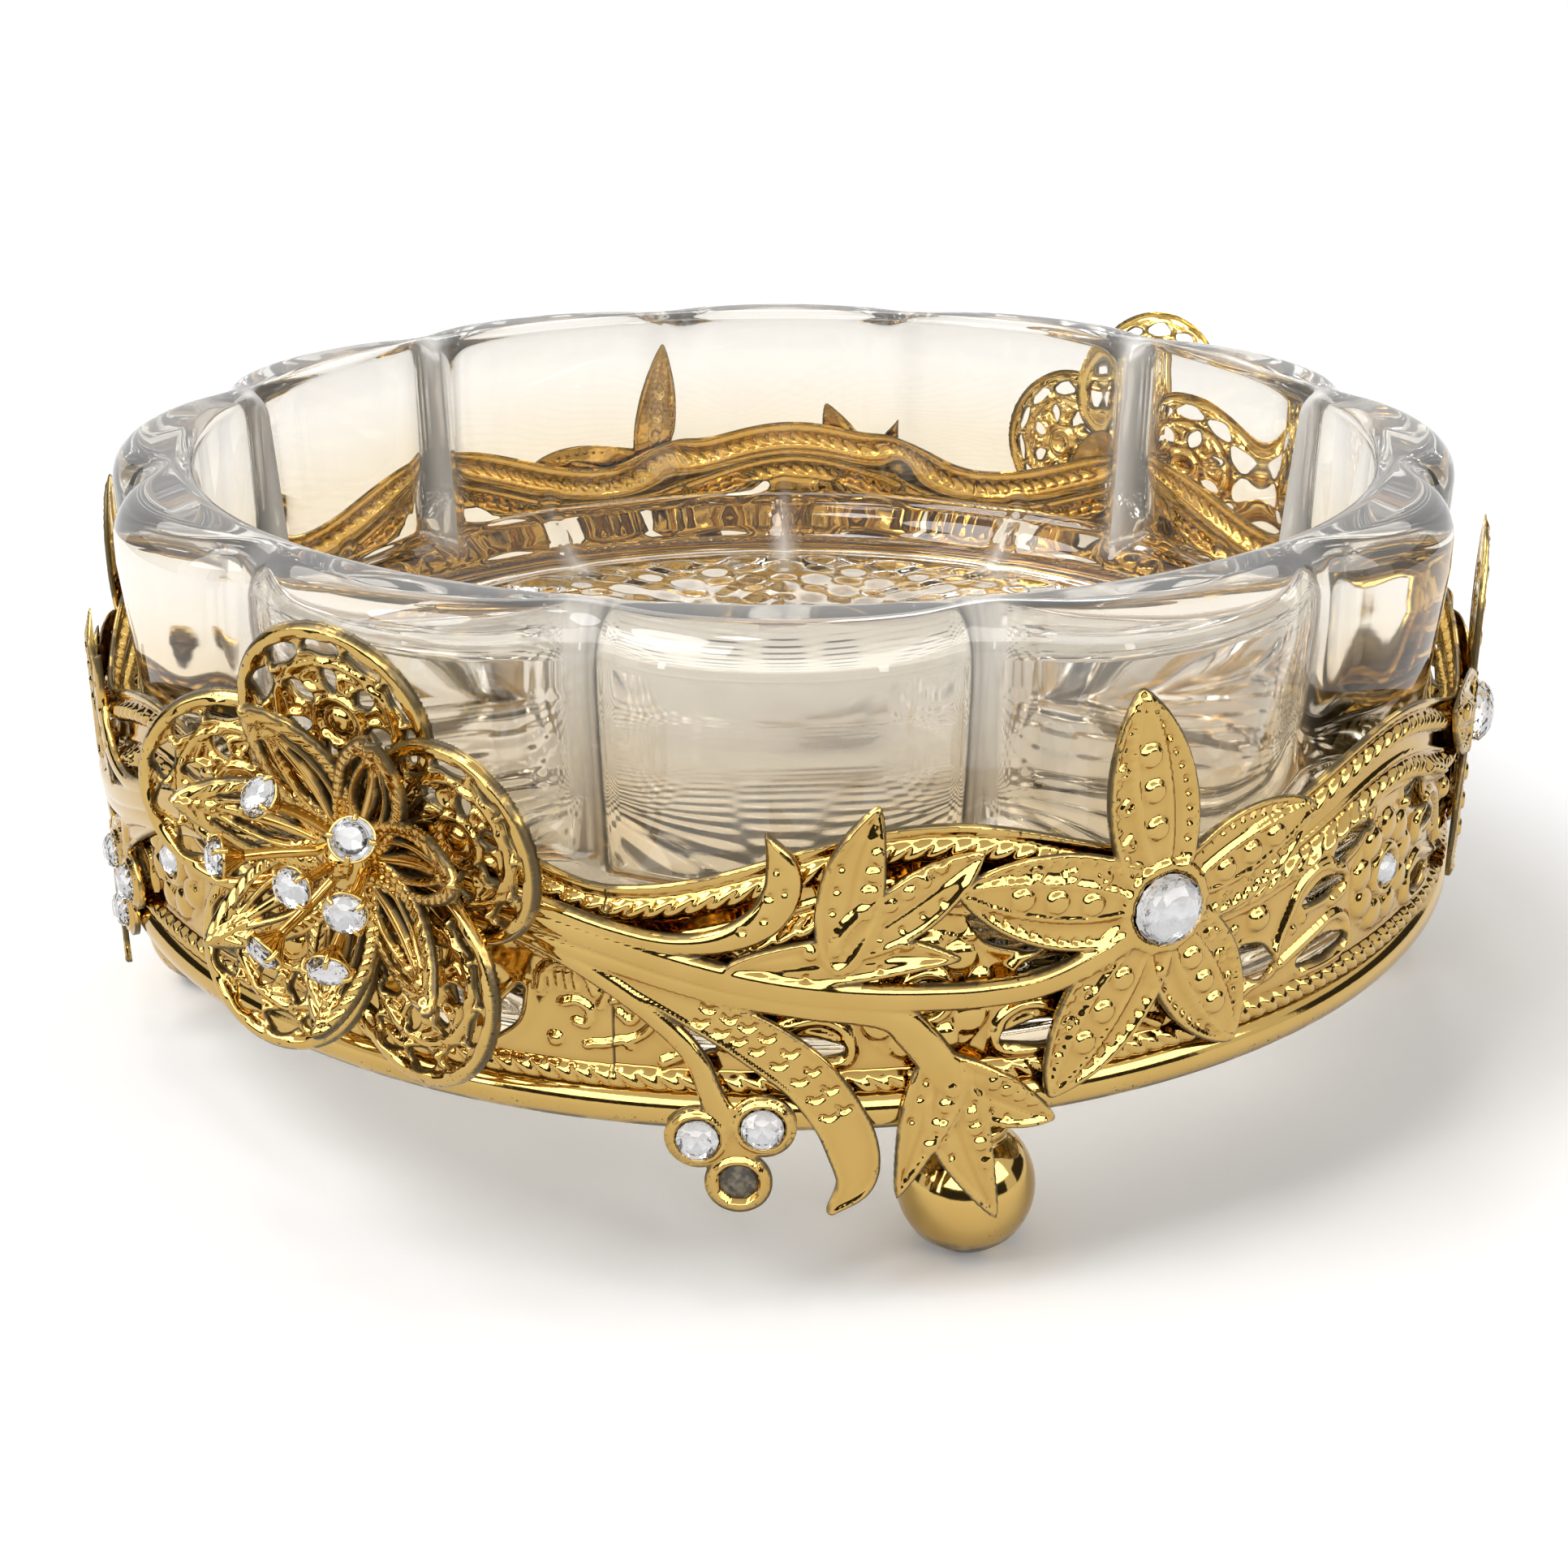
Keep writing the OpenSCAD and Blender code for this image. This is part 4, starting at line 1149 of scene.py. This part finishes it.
# Leaves: points along the rib, largest half width, side of the beads
LEAVES = [
    ([(31, 12.9), (35, 13.2), (40, 13.8), (44, 13.8), (48, 13.3)], 2.0, 1),
    ([(38.4, 14.0), (39.2, 18), (40, 22), (41.5, 26.2)], 2.5, -1),
    ([(39.2, 14.8), (43, 17.3), (46.3, 19.6), (49.6, 21.8)], 2.4, 1),
    ([(46.8, 4.4), (46.3, 2.4), (45, -1.6), (43.2, -7.3)], 2.3, 1),
    ([(47.2, 2.6), (47.8, -0.6), (49, -4.4), (51.4, -10.1)], 2.5, 1),
    ([(46.6, 4.2), (50.2, 1.4), (53, -0.3), (56, -1.7)], 2.2, 1),
]


def raised(points, rise):
    """Lifts the berry stem and cups, more the lower they are."""

    def share(up):
        return min(1, max(0, (RISE_FROM - up) / (RISE_FROM - RISE_FULL)))

    return [(along, up + rise * share(up), *half) for along, up, *half in points]


def leaf_run(points, half):
    """A leaf's rib with its half widths: widest before its middle, pointed at its tip."""
    run = smooth_run(points)
    t = np.linspace(0, 1, len(run))
    width = half * np.sin(np.pi * (0.13 + 0.87 * t**0.9)) ** 0.8
    return np.column_stack([run, width])


def leaning(art, gap, up):
    """How far the top of a leaf leans back, 0 to 1, over a height below its highest place."""
    top = art.v[gap < 0].max()
    return np.clip((art.v - top + up) / up, 0, 1)


def leaf(art, points, half, bead_side):
    """A leaf with a raised edge, a crease along its rib, beads on one side and pin marks on the other."""
    run = leaf_run(points, half)
    gap, across, along = art.stroke(run)
    offset = across * half
    face = LEAF_FACE + LEAF_EDGE * bell((gap + 0.3) / 0.28) - LEAF_CREASE * bell(offset / 0.3)
    face += 0.16 * np.sign(bead_side) * np.clip(across, -1, 1) * (1 - along)
    face += LEAF_LIFT - LEAF_LEAN * leaning(art, gap, LEAF_LEAN_UP)
    art.lay(gap, np.maximum(face, LEAST_FACE))
    for share in np.arange(0.33, 0.8, 0.13):
        art.dot(spot(run, share, bead_side * half * 0.5), *LEAF_BEAD)
    for share in np.arange(0.3, 0.75, 0.15):
        art.dot(spot(run, share, -bead_side * half * 0.45), *LEAF_PIN)


def flower_petal(art, direction, length, scroll_side):
    """A leaf-flower petal: a beaded lens along its middle, scrolls on one side and pin marks on the other."""
    points = [FLOWER_AT + polar(length * t, direction) for t in (0.1, 0.4, 0.7, 1)]
    run = leaf_run(points, PETAL_HALF)
    gap, across, along = art.stroke(run)
    half = np.interp(along, np.linspace(0, 1, len(run)), run[:, 2])
    offset = across * half
    lens = 1.5 * dome((along - 0.5) / 0.44)
    face = LEAF_FACE + 0.32 * bell((gap + 0.3) / 0.3) + 0.12 * (np.abs(offset) < lens) * dome(offset / 1.8)
    face += 0.26 * bell((np.abs(offset) - lens) / 0.24) * (along > 0.06) * (along < 0.94)
    face -= 0.12 * bell((np.abs(offset) - lens - 0.8) / 0.6)
    face += PETAL_LIFT - PETAL_LEAN * leaning(art, gap, PETAL_LEAN_UP)
    art.lay(gap, np.maximum(face, LEAST_FACE))
    for share in (0.3, 0.49, 0.67):
        art.dot(spot(run, share, 0), *PETAL_BEAD)
    for share in np.arange(0.12, 0.86, 0.075):
        edge = np.interp(share, np.linspace(0, 1, len(run)), run[:, 2]) - 0.85
        art.dot(spot(run, share, -scroll_side * edge), *PETAL_PIN)
        art.dot(spot(run, share, scroll_side * (edge + 0.1)), *PETAL_GRAIN)
    for share in (0.26, 0.44, 0.62):
        middle = spot(run, share, scroll_side * 2.25)
        turns = np.linspace(0, 5.2, 7) + math.radians(direction)
        reach = 0.62 * np.linspace(1, 0.35, 7)
        art.emboss(middle + np.column_stack([reach * np.cos(turns), reach * np.sin(turns)]), 0.2, 0.3)


def berry_cup(art, place):
    art.disc(place, BERRY_CUP_R, SHEET + 0.3)
    art.ring(place, BERRY_STONE_D / 2 + 0.25, 0.3, 0.4)
    art.seat(place, BERRY_STONE_D / 2, STONE_SEAT)


def punched_scroll(art):
    """The broad scroll with its two rows of crescent punch marks."""
    run = smooth_run(SCROLL)
    gap, across, _ = art.stroke(run)
    art.lay(gap, LEAF_FACE + 0.28 * bell((gap + 0.2) / 0.25) + 0.14 * dome(across))
    for share in np.linspace(0.3, 0.66, 8):
        for row, end_up in ((0.75, 0.2), (-0.55, 0.02)):
            middle = spot(run, share, row)
            crescent = [middle + [-0.55, end_up], middle + [0, -0.22], middle + [0.55, 0.1]]
            art.emboss(crescent, 0.24, -0.34)


def spray_form(rise, seat):
    art = Stamping(SPRAY_LOW, SPRAY_HIGH, SPRAY_STEP)
    if seat:
        art.disc(SEAT_AT, SEAT_R, SHEET)
    punched_scroll(art)
    art.wire(raised(BERRY_STEM, rise), SHEET, RIDGE - 0.15)
    art.wire(LOWER_BAND, SHEET, RIDGE - 0.1)
    art.wire(HOOK, SHEET, RIDGE - 0.05)
    art.wire(MAIN_RIDGE, SHEET, RIDGE + 0.1)
    for mark in HOOK_MARKS:
        art.dot(mark, *LEAF_PIN)
    for points, half, bead_side in LEAVES:
        leaf(art, points, half, bead_side)
    for direction, length, scroll_side in FLOWER_PETALS:
        flower_petal(art, direction, length, scroll_side)
    art.disc(FLOWER_AT, BEZEL_R + 0.35, LEAF_FACE + 0.1)
    art.ring(FLOWER_AT, FLOWER_STONE_D / 2 + 0.45, 0.55, 0.55)
    art.seat(FLOWER_AT, FLOWER_STONE_D / 2, STONE_SEAT)
    middle = np.mean(raised(BERRIES, rise), axis=0)
    art.disc(middle + [0, 0.6], 2.3, SHEET + 0.25)
    for place in raised(BERRIES, rise):
        berry_cup(art, place)
    art.limit(SPRAY_OUT_R - SPRAY_IN_R, SPRAY_EASE)
    return art.form(SPRAY_SHEET)


# Stones


# Shares of a stone's width
GIRDLE_LOW = 0.06
GIRDLE_HIGH = 0.12
CROWN_UP = 0.22


def cut_stone(d, sides, crown, depth):
    """A faceted stone: rings of the crown as (share of radius, share of height), then its foil back."""
    r = d / 2
    rings = [(0.97, 0.0), (1.0, GIRDLE_LOW * d)]
    rings += [(share, GIRDLE_HIGH * d + up * CROWN_UP * d) for share, up in crown]
    back = [(0.55, -0.55 * depth)]
    rows = []
    for k, (share, z) in enumerate(back + rings):
        a = (np.arange(sides) + 0.5 * (k % 2)) * 2 * np.pi / sides
        rows.append(np.column_stack([r * share * np.cos(a), r * share * np.sin(a), np.full(sides, z)]))
    count = len(rows) * sides
    points = np.vstack(rows + [[[0, 0, -depth]], [[0, 0, rings[-1][1]]]])
    i = np.arange(sides)
    faces = [(fan(count, i, False), 1)]
    for k in range(len(rows) - 1):
        low = k * sides
        high = low + sides
        shift = k % 2
        a, b = low + i, low + (i + 1) % sides
        c, e = high + (i + shift) % sides, high + (i + 1 + shift) % sides
        lower = np.stack([a, b, c], axis=-1)
        upper = np.stack([b, e, c], axis=-1)
        faces.append((np.vstack([lower, upper]), 1 if k == 0 else 0))
    faces.append((fan(count + 1, i + count - sides, True), 0))
    return Form(points, faces)


def brilliant(d, depth):
    return cut_stone(d, 12, [(0.96, 0.2), (0.76, 0.7), (0.52, 1.0)], depth)


def chequer(d, depth):
    """A low dome of rows of small facets."""
    return cut_stone(d, 14, [(0.97, 0.15), (0.8, 0.55), (0.58, 0.84), (0.3, 1.0)], depth)


def spray_place(hand, place, out):
    turn, side = HANDS[hand]
    return standing(turn + math.degrees(side * place[0] / SPRAY_IN_R), SPRAY_IN_R + out, place[1])


def sprays():
    sheets = {1: spray_form(0, True), -1: spray_form(BERRY_RISE, False)}
    for hand, (turn, side) in HANDS.items():
        sheet = sheets[side].moved(on_wall(turn, SPRAY_IN_R, side), mirrored=side < 0)
        if hand == LOST_STONE[0]:
            cup = spray_place(hand, BERRIES[LOST_STONE[1]], STONE_SEAT)
            gilt_piece(f"spray_{hand}", joined([sheet, old_glue().moved(cup)]), (GILT, GLUE))
        else:
            gilt_piece(f"spray_{hand}", sheet)
        out = STONE_SEAT + SPRAY_STONE_UP
        flower = chequer(FLOWER_STONE_D, SPRAY_STONE_DEPTH)
        stone_piece(f"flower_stone_{hand}", [flower.moved(spray_place(hand, FLOWER_AT, out))])
        berry = brilliant(BERRY_STONE_D, SPRAY_STONE_DEPTH)
        berries = raised(BERRIES, 0 if side > 0 else BERRY_RISE)
        kept = [place for i, place in enumerate(berries) if (hand, i) != LOST_STONE]
        stone_piece(f"berry_stones_{hand}", [berry.moved(spray_place(hand, place, out)) for place in kept])


def old_glue():
    """What is left in the cup whose stone is lost."""
    lump = revolved([[0, 0], [1.5, 0], [1.62, 0.12], [1.2, 0.2], [0.75, 0.16], [0.5, 0.3], [0, 0.34]], 32)
    lump.faces = [(group, 1) for group, _ in lump.faces]
    return lump


def rosette_stones():
    forms = []
    for i in range(GALLERY_PANELS):
        out = GALLERY_IN_R + STONE_SEAT + ROSETTE_STONE_UP
        place = standing(FIRST_CREST + i * PANEL_PITCH, out, ROSETTE_UP)
        forms.append(brilliant(ROSETTE_STONE_D, ROSETTE_STONE_DEPTH).moved(place))
    stone_piece("rosette_stones", forms)


# Filigree flowers


FILIGREE_STEP = 0.15
OUTER_R = 19.5
OUTER_HALF = 8.5
OUTER_MID = OUTER_R - OUTER_HALF
OUTER_BOWL = 60.6
OUTER_PETALS = 5
FIRST_OUTER = 90
OUTER_TWIST = 0.085
INNER_TIP = 14.2
INNER_HALF = 3.5
INNER_BOWL = 22.6
INNER_PETALS = 7
FIRST_INNER = 10
INNER_TWIST = 0.06
INNER_UP = 1.0
INNER_HUB_T = 0.6
FILIGREE_FACE = 0.5
FILIGREE_SHEET = 0.4
HUB_R = 3.0
STAMEN_UP = 8.2
STAMENS = [(-2.4, 6.7), (5.9, 5.1), (-6.9, 0.9), (4.8, -1.0), (-3.3, -5.9), (2.7, -6.0)]
STAMEN_STONE_D = 3.3
STAMEN_STONE_DEPTH = 0.5
STAMEN_CUP_D = 3.6
STAMEN_WIRE_D = 0.9
# Where the wires leave the collar, how far they sag, and how far below a cup's mouth they end
WIRE_FOOT_R = 2.0
WIRE_SAG = 0.4
CUP_STEM = 1.2
LEAN_FROM_R = 2.2
COLLAR_D = 4.8
COLLAR_UP = 1.73
COLLAR_T = 1.2
RIVET_R = 1.0
RIVET_LOW = -0.9
RIVET_CAP_R = 1.5
RIVET_CAP_SUNK = 0.4
LACE_STEP = 33
LACE_LIP = (0.25, 0.2)
SLOT_LIP = (0.2, 0.1)
LENS_LINE = (0.32, 0.4)
ROOT_SLOTS = [
    [(9.2, 1.2, 0.3), (6.8, 1.1, 0.6), (4.4, 0.9, 0.3)],
    [(9.4, 3.6, 0.3), (7.4, 3.0, 0.75), (5.2, 2.2, 0.3)],
]


def bowl(radius, start, twist, lift):
    """Bends a flat petal (outward, across, face) into a bowl and turns it to its direction."""

    def place(p):
        x, y = p[:, 0], p[:, 1]
        r = np.hypot(x, y)
        reach = radius - p[:, 2]
        out = radius - reach * dome(r / radius) + twist * y * step_up(x, 2, 10) + lift
        flat = reach / radius
        a = math.radians(start)
        right = x * math.cos(a) - y * math.sin(a)
        up = x * math.sin(a) + y * math.cos(a)
        return np.stack([flat * right, flat * up, out], axis=-1)

    return place


def petal_ring(petal, count, first, radius, twist, lift):
    """Copies of a petal, bowled and set round the flower's axis."""
    return [petal.moved(bowl(radius, first + k * 360 / count, twist, lift)) for k in range(count)]


def outer_petal_form():
    """A round petal: a wire edge, lace with two rows of openings, and slots at its root."""
    art = Stamping((0.6, -9.2), (20.2, 9.2), FILIGREE_STEP)
    round_end = art.distance((OUTER_MID, 0)) - OUTER_HALF
    root_half = 2.2 + 0.55 * np.clip(art.u, 0, 9)
    root = np.maximum.reduce([np.abs(art.v) - root_half, art.u - OUTER_MID, 1.2 - art.u])
    outline = np.minimum(round_end, root)
    art.gap = outline
    art.face += FILIGREE_FACE
    art.face += 0.7 * dome(np.clip((outline + 0.6) / 0.62, -1, 1)) * step_up(art.u, 2, 5)

    def lace(radius, turn):
        return (OUTER_MID, 0) + polar(radius, turn)

    art.ring((OUTER_MID, 0), 5.15, 0.4, 0.4)
    art.ring((OUTER_MID, 0), 2.0, 0.4, 0.4)
    for turn in range(-3 * LACE_STEP, 3 * LACE_STEP + 1, LACE_STEP):
        opening = [(*lace(6.5, turn - 11), 0.35), (*lace(6.6, turn), 0.8), (*lace(6.5, turn + 11), 0.35)]
        art.pierce(opening, *LACE_LIP)
        art.dot(lace(6.0, turn + LACE_STEP / 2), 0.42, 0.35)
    for turn in (-100, -50, 0, 50, 100):
        art.pierce([(*lace(2.8, turn), 0.25), (*lace(3.7, turn), 0.7), (*lace(4.5, turn), 0.35)], *LACE_LIP)
        curl = [lace(r, turn + 25 + t) for r, t in ((4.6, -8), (4.2, 9), (3.2, 8), (2.9, -5), (3.6, -6))]
        art.emboss(curl, 0.26, 0.35)
    art.dot((OUTER_MID, 0), 1.1, 0.5)
    for side in (-1, 1):
        for slot in ROOT_SLOTS:
            art.pierce([(u, side * v, half) for u, v, half in slot], *LACE_LIP)
    return art.form(0.42)


def inner_petal_form():
    """A pointed petal: a milled edge, a rib and a lens of wire, open between."""
    art = Stamping((0.6, -4.2), (15.0, 4.2), FILIGREE_STEP)
    t = np.linspace(0, 1, 30)
    half = INNER_HALF * np.sin(np.pi * (0.16 + 0.84 * t)) ** 0.85
    gap, _, _ = art.stroke(np.column_stack([1.0 + (INNER_TIP - 1.0) * t, 0 * t, half]))
    art.gap = gap
    milled = dome(np.mod(art.u / 0.85 + np.abs(art.v) * 0.7, 1) * 1.9 - 0.95)
    edge = dome(np.clip((gap + 0.75) / 0.75, -1, 1))
    art.face += 0.38 + 0.5 * edge * (0.35 + 0.65 * milled)
    art.face += 0.4 * dome(np.clip(art.v / 0.42, -1, 1))
    for side in (-1, 1):
        lens = [(2.6, side * 0.7), (5.2, side * 1.55), (8.4, side * 1.5), (11.6, side * 0.3)]
        art.emboss(lens, *LENS_LINE)
        art.pierce([(3.6, side * 0.55, 0.15), (6.6, side * 0.92, 0.36), (9.6, side * 0.6, 0.12)], *SLOT_LIP)
        art.pierce([(5.2, side * 2.1, 0.12), (8.2, side * 2.05, 0.3), (11.0, side * 1.15, 0.12)], *SLOT_LIP)
    return art.form(FILIGREE_SHEET)


def hub(r, low, high):
    """A short round post with eased edges."""
    ease = 0.15
    side = [[r - ease, low], [r, low + ease], [r, high - ease], [r - ease, high]]
    return revolved([[0, low]] + side + [[0, high]], 48)


def stamen_cup(r):
    """A little cone that holds a stone, with four claws over its edge. Its mouth is at z = 0."""
    outside = [[0, -1.7], [0.5, -1.7], [0.75, -1.3], [r - 0.1, -0.1], [r, 0.1]]
    inside = [[r - 0.12, 0.2], [r - 0.3, 0.05], [0.9, -0.8], [0, -0.95]]
    cone = revolved(outside + inside, 32)
    claws = []
    for k in range(4):
        a = math.radians(45 + 90 * k)
        ring = [(r - 0.05, -0.3), (r + 0.02, 0.15), (r - 0.05, 0.6), (r - 0.5, 0.82)]
        path = smooth_run([[q * math.cos(a), q * math.sin(a), z] for q, z in ring], 4)
        claws.append(tube(path, np.linspace(0.26, 0.2, len(path)), 8))
    return joined([cone] + claws)


def outward(place, lean):
    """The direction of a stamen at a place, leaning outward from the flower's axis."""
    turn = math.atan2(place[1], place[0])
    return np.array([math.sin(lean) * math.cos(turn), math.sin(lean) * math.sin(turn), math.cos(lean)])


def leaned(place, lean):
    """Moves a form whose axis is +Z to a place, leaning outward from the flower's axis."""
    turn = math.atan2(place[1], place[0])
    ahead = outward(place, lean)
    side = np.array([-math.sin(turn), math.cos(turn), 0])
    over = np.cross(ahead, side)
    return lambda p: np.asarray(place) + p[:, :1] * -over + p[:, 1:2] * side + p[:, 2:] * ahead


def stamen_lean(place):
    return math.atan2(math.hypot(*place) - LEAN_FROM_R, STAMEN_UP - COLLAR_UP - COLLAR_T / 2)


def stamens_form():
    collar = hub(COLLAR_D / 2, COLLAR_UP, COLLAR_UP + COLLAR_T)
    forms = [collar]
    for place in STAMENS:
        lean = stamen_lean(place)
        head = np.array([*place, STAMEN_UP])
        foot = np.array([*np.multiply(place, WIRE_FOOT_R / math.hypot(*place)), COLLAR_UP + COLLAR_T / 2])
        sag = (foot + head) / 2 - [0, 0, WIRE_SAG]
        path = smooth_run([foot, sag, head - CUP_STEM * outward(place, lean)])
        forms.append(tube(path, STAMEN_WIRE_D / 2))
        forms.append(stamen_cup(STAMEN_CUP_D / 2).moved(leaned(head, lean)))
    return joined(forms)


def rivet_form():
    head = COLLAR_UP + COLLAR_T
    shank = hub(RIVET_R, RIVET_LOW, head)
    middle = head - RIVET_CAP_SUNK
    crown = arc((0, middle), RIVET_CAP_R, 16, 88, 10)
    cap = revolved(np.vstack([[[0, head]], crown, [[0, middle + RIVET_CAP_R]]]), 32)
    stem = [[0, 0, head + 0.8], [0.1, 0.1, head + 2.5], [0, 0, STAMEN_UP - CUP_STEM]]
    wire = tube(smooth_run(stem), STAMEN_WIRE_D / 2)
    cup = stamen_cup(STAMEN_CUP_D / 2).moved(lambda p: p + [0, 0, STAMEN_UP])
    return joined([shank, cap, wire, cup])


def filigree_flowers():
    outer = petal_ring(outer_petal_form(), OUTER_PETALS, FIRST_OUTER, OUTER_BOWL, OUTER_TWIST, 0)
    outer = joined(outer + [hub(HUB_R, 0, INNER_UP)])
    inner = petal_ring(inner_petal_form(), INNER_PETALS, FIRST_INNER, INNER_BOWL, INNER_TWIST, INNER_UP)
    inner = joined(inner + [hub(HUB_R, INNER_UP, INNER_UP + INNER_HUB_T)])
    for hand, name in (("front_right", "front"), ("back_right", "back")):
        at_flower = spray_place(hand, SEAT_AT, SPRAY_OUT_R - SPRAY_IN_R)
        gilt_piece(f"outer_petals_{name}", outer.moved(at_flower))
        gilt_piece(f"inner_petals_{name}", inner.moved(at_flower))
        gilt_piece(f"stamens_{name}", stamens_form().moved(at_flower))
        gilt_piece(f"flower_rivet_{name}", rivet_form().moved(at_flower))
        places = [leaned([*place, STAMEN_UP], stamen_lean(place)) for place in STAMENS]
        places.append(lambda p: p + [0, 0, STAMEN_UP])
        stone = brilliant(STAMEN_STONE_D, STAMEN_STONE_DEPTH)
        stone_piece(f"stamen_stones_{name}", [stone.moved(place).moved(at_flower) for place in places])


# Camera, floor and light


CAMERA_AT = (0, -0.2252, 0.1095)
CAMERA_TILT = 67.8
CAMERA_LENS = 54.04
CAMERA_NEAR = 0.005
SENSOR_W = 36
FLOOR_R = 4.0
FLOOR_SIDES = 64
FLOOR_GLOW = 0.12
WORLD_LIGHT = 0.45
SUN_POWER = 1.6
SUN_WIDTH = 30
SUN_TURNS = (10, -32, 0)


def camera():
    data = bpy.data.cameras.new("camera")
    data.sensor_width = SENSOR_W
    data.lens = CAMERA_LENS
    data.clip_start = CAMERA_NEAR
    made = add_object("camera", data)
    made.location = CAMERA_AT
    made.rotation_euler = (math.radians(CAMERA_TILT), 0, 0)
    bpy.context.scene.camera = made


def stage_object(name, points, faces, finish):
    mesh = bpy.data.meshes.new(name)
    mesh.from_pydata([tuple(p) for p in points], [], faces)
    mesh.materials.append(finish)
    made = add_object(name, mesh)
    return made


def floor():
    f = new_finish("pale_floor")
    finish = f.surface(
        Base_Color=f.blend(f.noise(40, 3), (0.97, 0.97, 0.97, 1), (0.96, 0.96, 0.96, 1)),
        Roughness=0.9,
        Emission_Color=f.blend(f.seen_straight(), (0, 0, 0, 1), (1, 1, 1, 1)),
        Emission_Strength=FLOOR_GLOW,
    )
    ring = [(*polar(FLOOR_R, k * 360 / FLOOR_SIDES), 0) for k in range(FLOOR_SIDES)]
    stage_object("floor", ring, [tuple(range(FLOOR_SIDES))], finish)


# Boards round the dish: turns of their ends, heights of their edges, glow
BOARDS = [
    ("flag_front", -60, 64, 0.0, 0.25, 0.0),
    ("flag_left", -125, -82, 0.0, 0.3, 0.0),
    ("flag_right", 84, 122, 0.0, 0.3, 0.0),
    ("glow_front", -75, 75, 0.27, 0.75, 5.0),
    ("glow_back", 130, 230, 0.5, 0.9, 3.0),
    ("strip_left", -47, -43, 0.08, 0.25, 8.0),
    ("strip_right", 32, 36, 0.08, 0.25, 8.0),
]
BOARD_R = 0.9
STRIP_R = 0.85
BOARD_STEPS = 12


def boards():
    """Dark and bright boards that only show in the gilt metal and on the face of the glass."""
    for name, start, end, low, high, glow in BOARDS:
        f = new_finish(name)
        finish = f.surface(
            Base_Color=(0.02, 0.017, 0.012, 1),
            Roughness=1.0,
            Emission_Color=(1, 0.98, 0.94, 1),
            Emission_Strength=glow,
        )
        turns = np.radians(np.linspace(start, end, BOARD_STEPS))
        r = STRIP_R if name.startswith("strip") else BOARD_R
        rows = [(r * math.sin(a), -r * math.cos(a), z) for z in (low, high) for a in turns]
        faces = [(i, i + 1, i + BOARD_STEPS + 1, i + BOARD_STEPS) for i in range(BOARD_STEPS - 1)]
        board = stage_object(name, rows, faces, finish)
        board.visible_camera = False
        board.visible_diffuse = False
        board.visible_shadow = False
        board.visible_transmission = False


SOFTBOX_AIM = (0, 0, 0.03)
# Softboxes: place, size, power
SOFTBOXES = [
    ("box_left", (-0.75, -0.55, 0.7), 0.14, 0.9),
    ("box_right", (0.55, -0.75, 0.65), 0.1, 0.5),
    ("box_back", (0.15, 0.85, 0.75), 0.2, 1.0),
    ("box_top", (-0.15, -0.1, 1.1), 0.14, 0.7),
]


def lamp(name, kind, power):
    data = bpy.data.lights.new(name, kind)
    data.energy = power
    return add_object(name, data)


def softboxes():
    """Small bright boxes, aimed at the dish, whose reflections make the highlights."""
    for name, place, size, power in SOFTBOXES:
        box = lamp(name, "AREA", power)
        box.data.size = size
        box.location = place
        x, y, z = np.subtract(SOFTBOX_AIM, place)
        box.rotation_euler = (math.atan2(math.hypot(x, y), -z), 0, math.atan2(-x, y))


def sun():
    made = lamp("window_light", "SUN", SUN_POWER)
    made.data.angle = math.radians(SUN_WIDTH)
    made.rotation_euler = [math.radians(turn) for turn in SUN_TURNS]


def world():
    made = bpy.data.worlds.new("studio")
    bpy.context.scene.world = made
    f = Finish(made)
    power = WORLD_LIGHT + f.seen_straight() * (1 - WORLD_LIGHT)
    sky = f.node("ShaderNodeBackground", None, {"Color": (1, 1, 1, 1), "Strength": power})
    f.node("ShaderNodeOutputWorld", None, {"Surface": sky})


camera()
floor()
boards()
softboxes()
sun()
world()
bpy.context.scene.view_settings.view_transform = "Standard"

glass_dish()
base_ring()
for number, place in enumerate(foot_places(), 1):
    ball_foot(f"ball_foot_{number}", place)
foot_screws()
gallery()
sprays()
rosette_stones()
filigree_flowers()
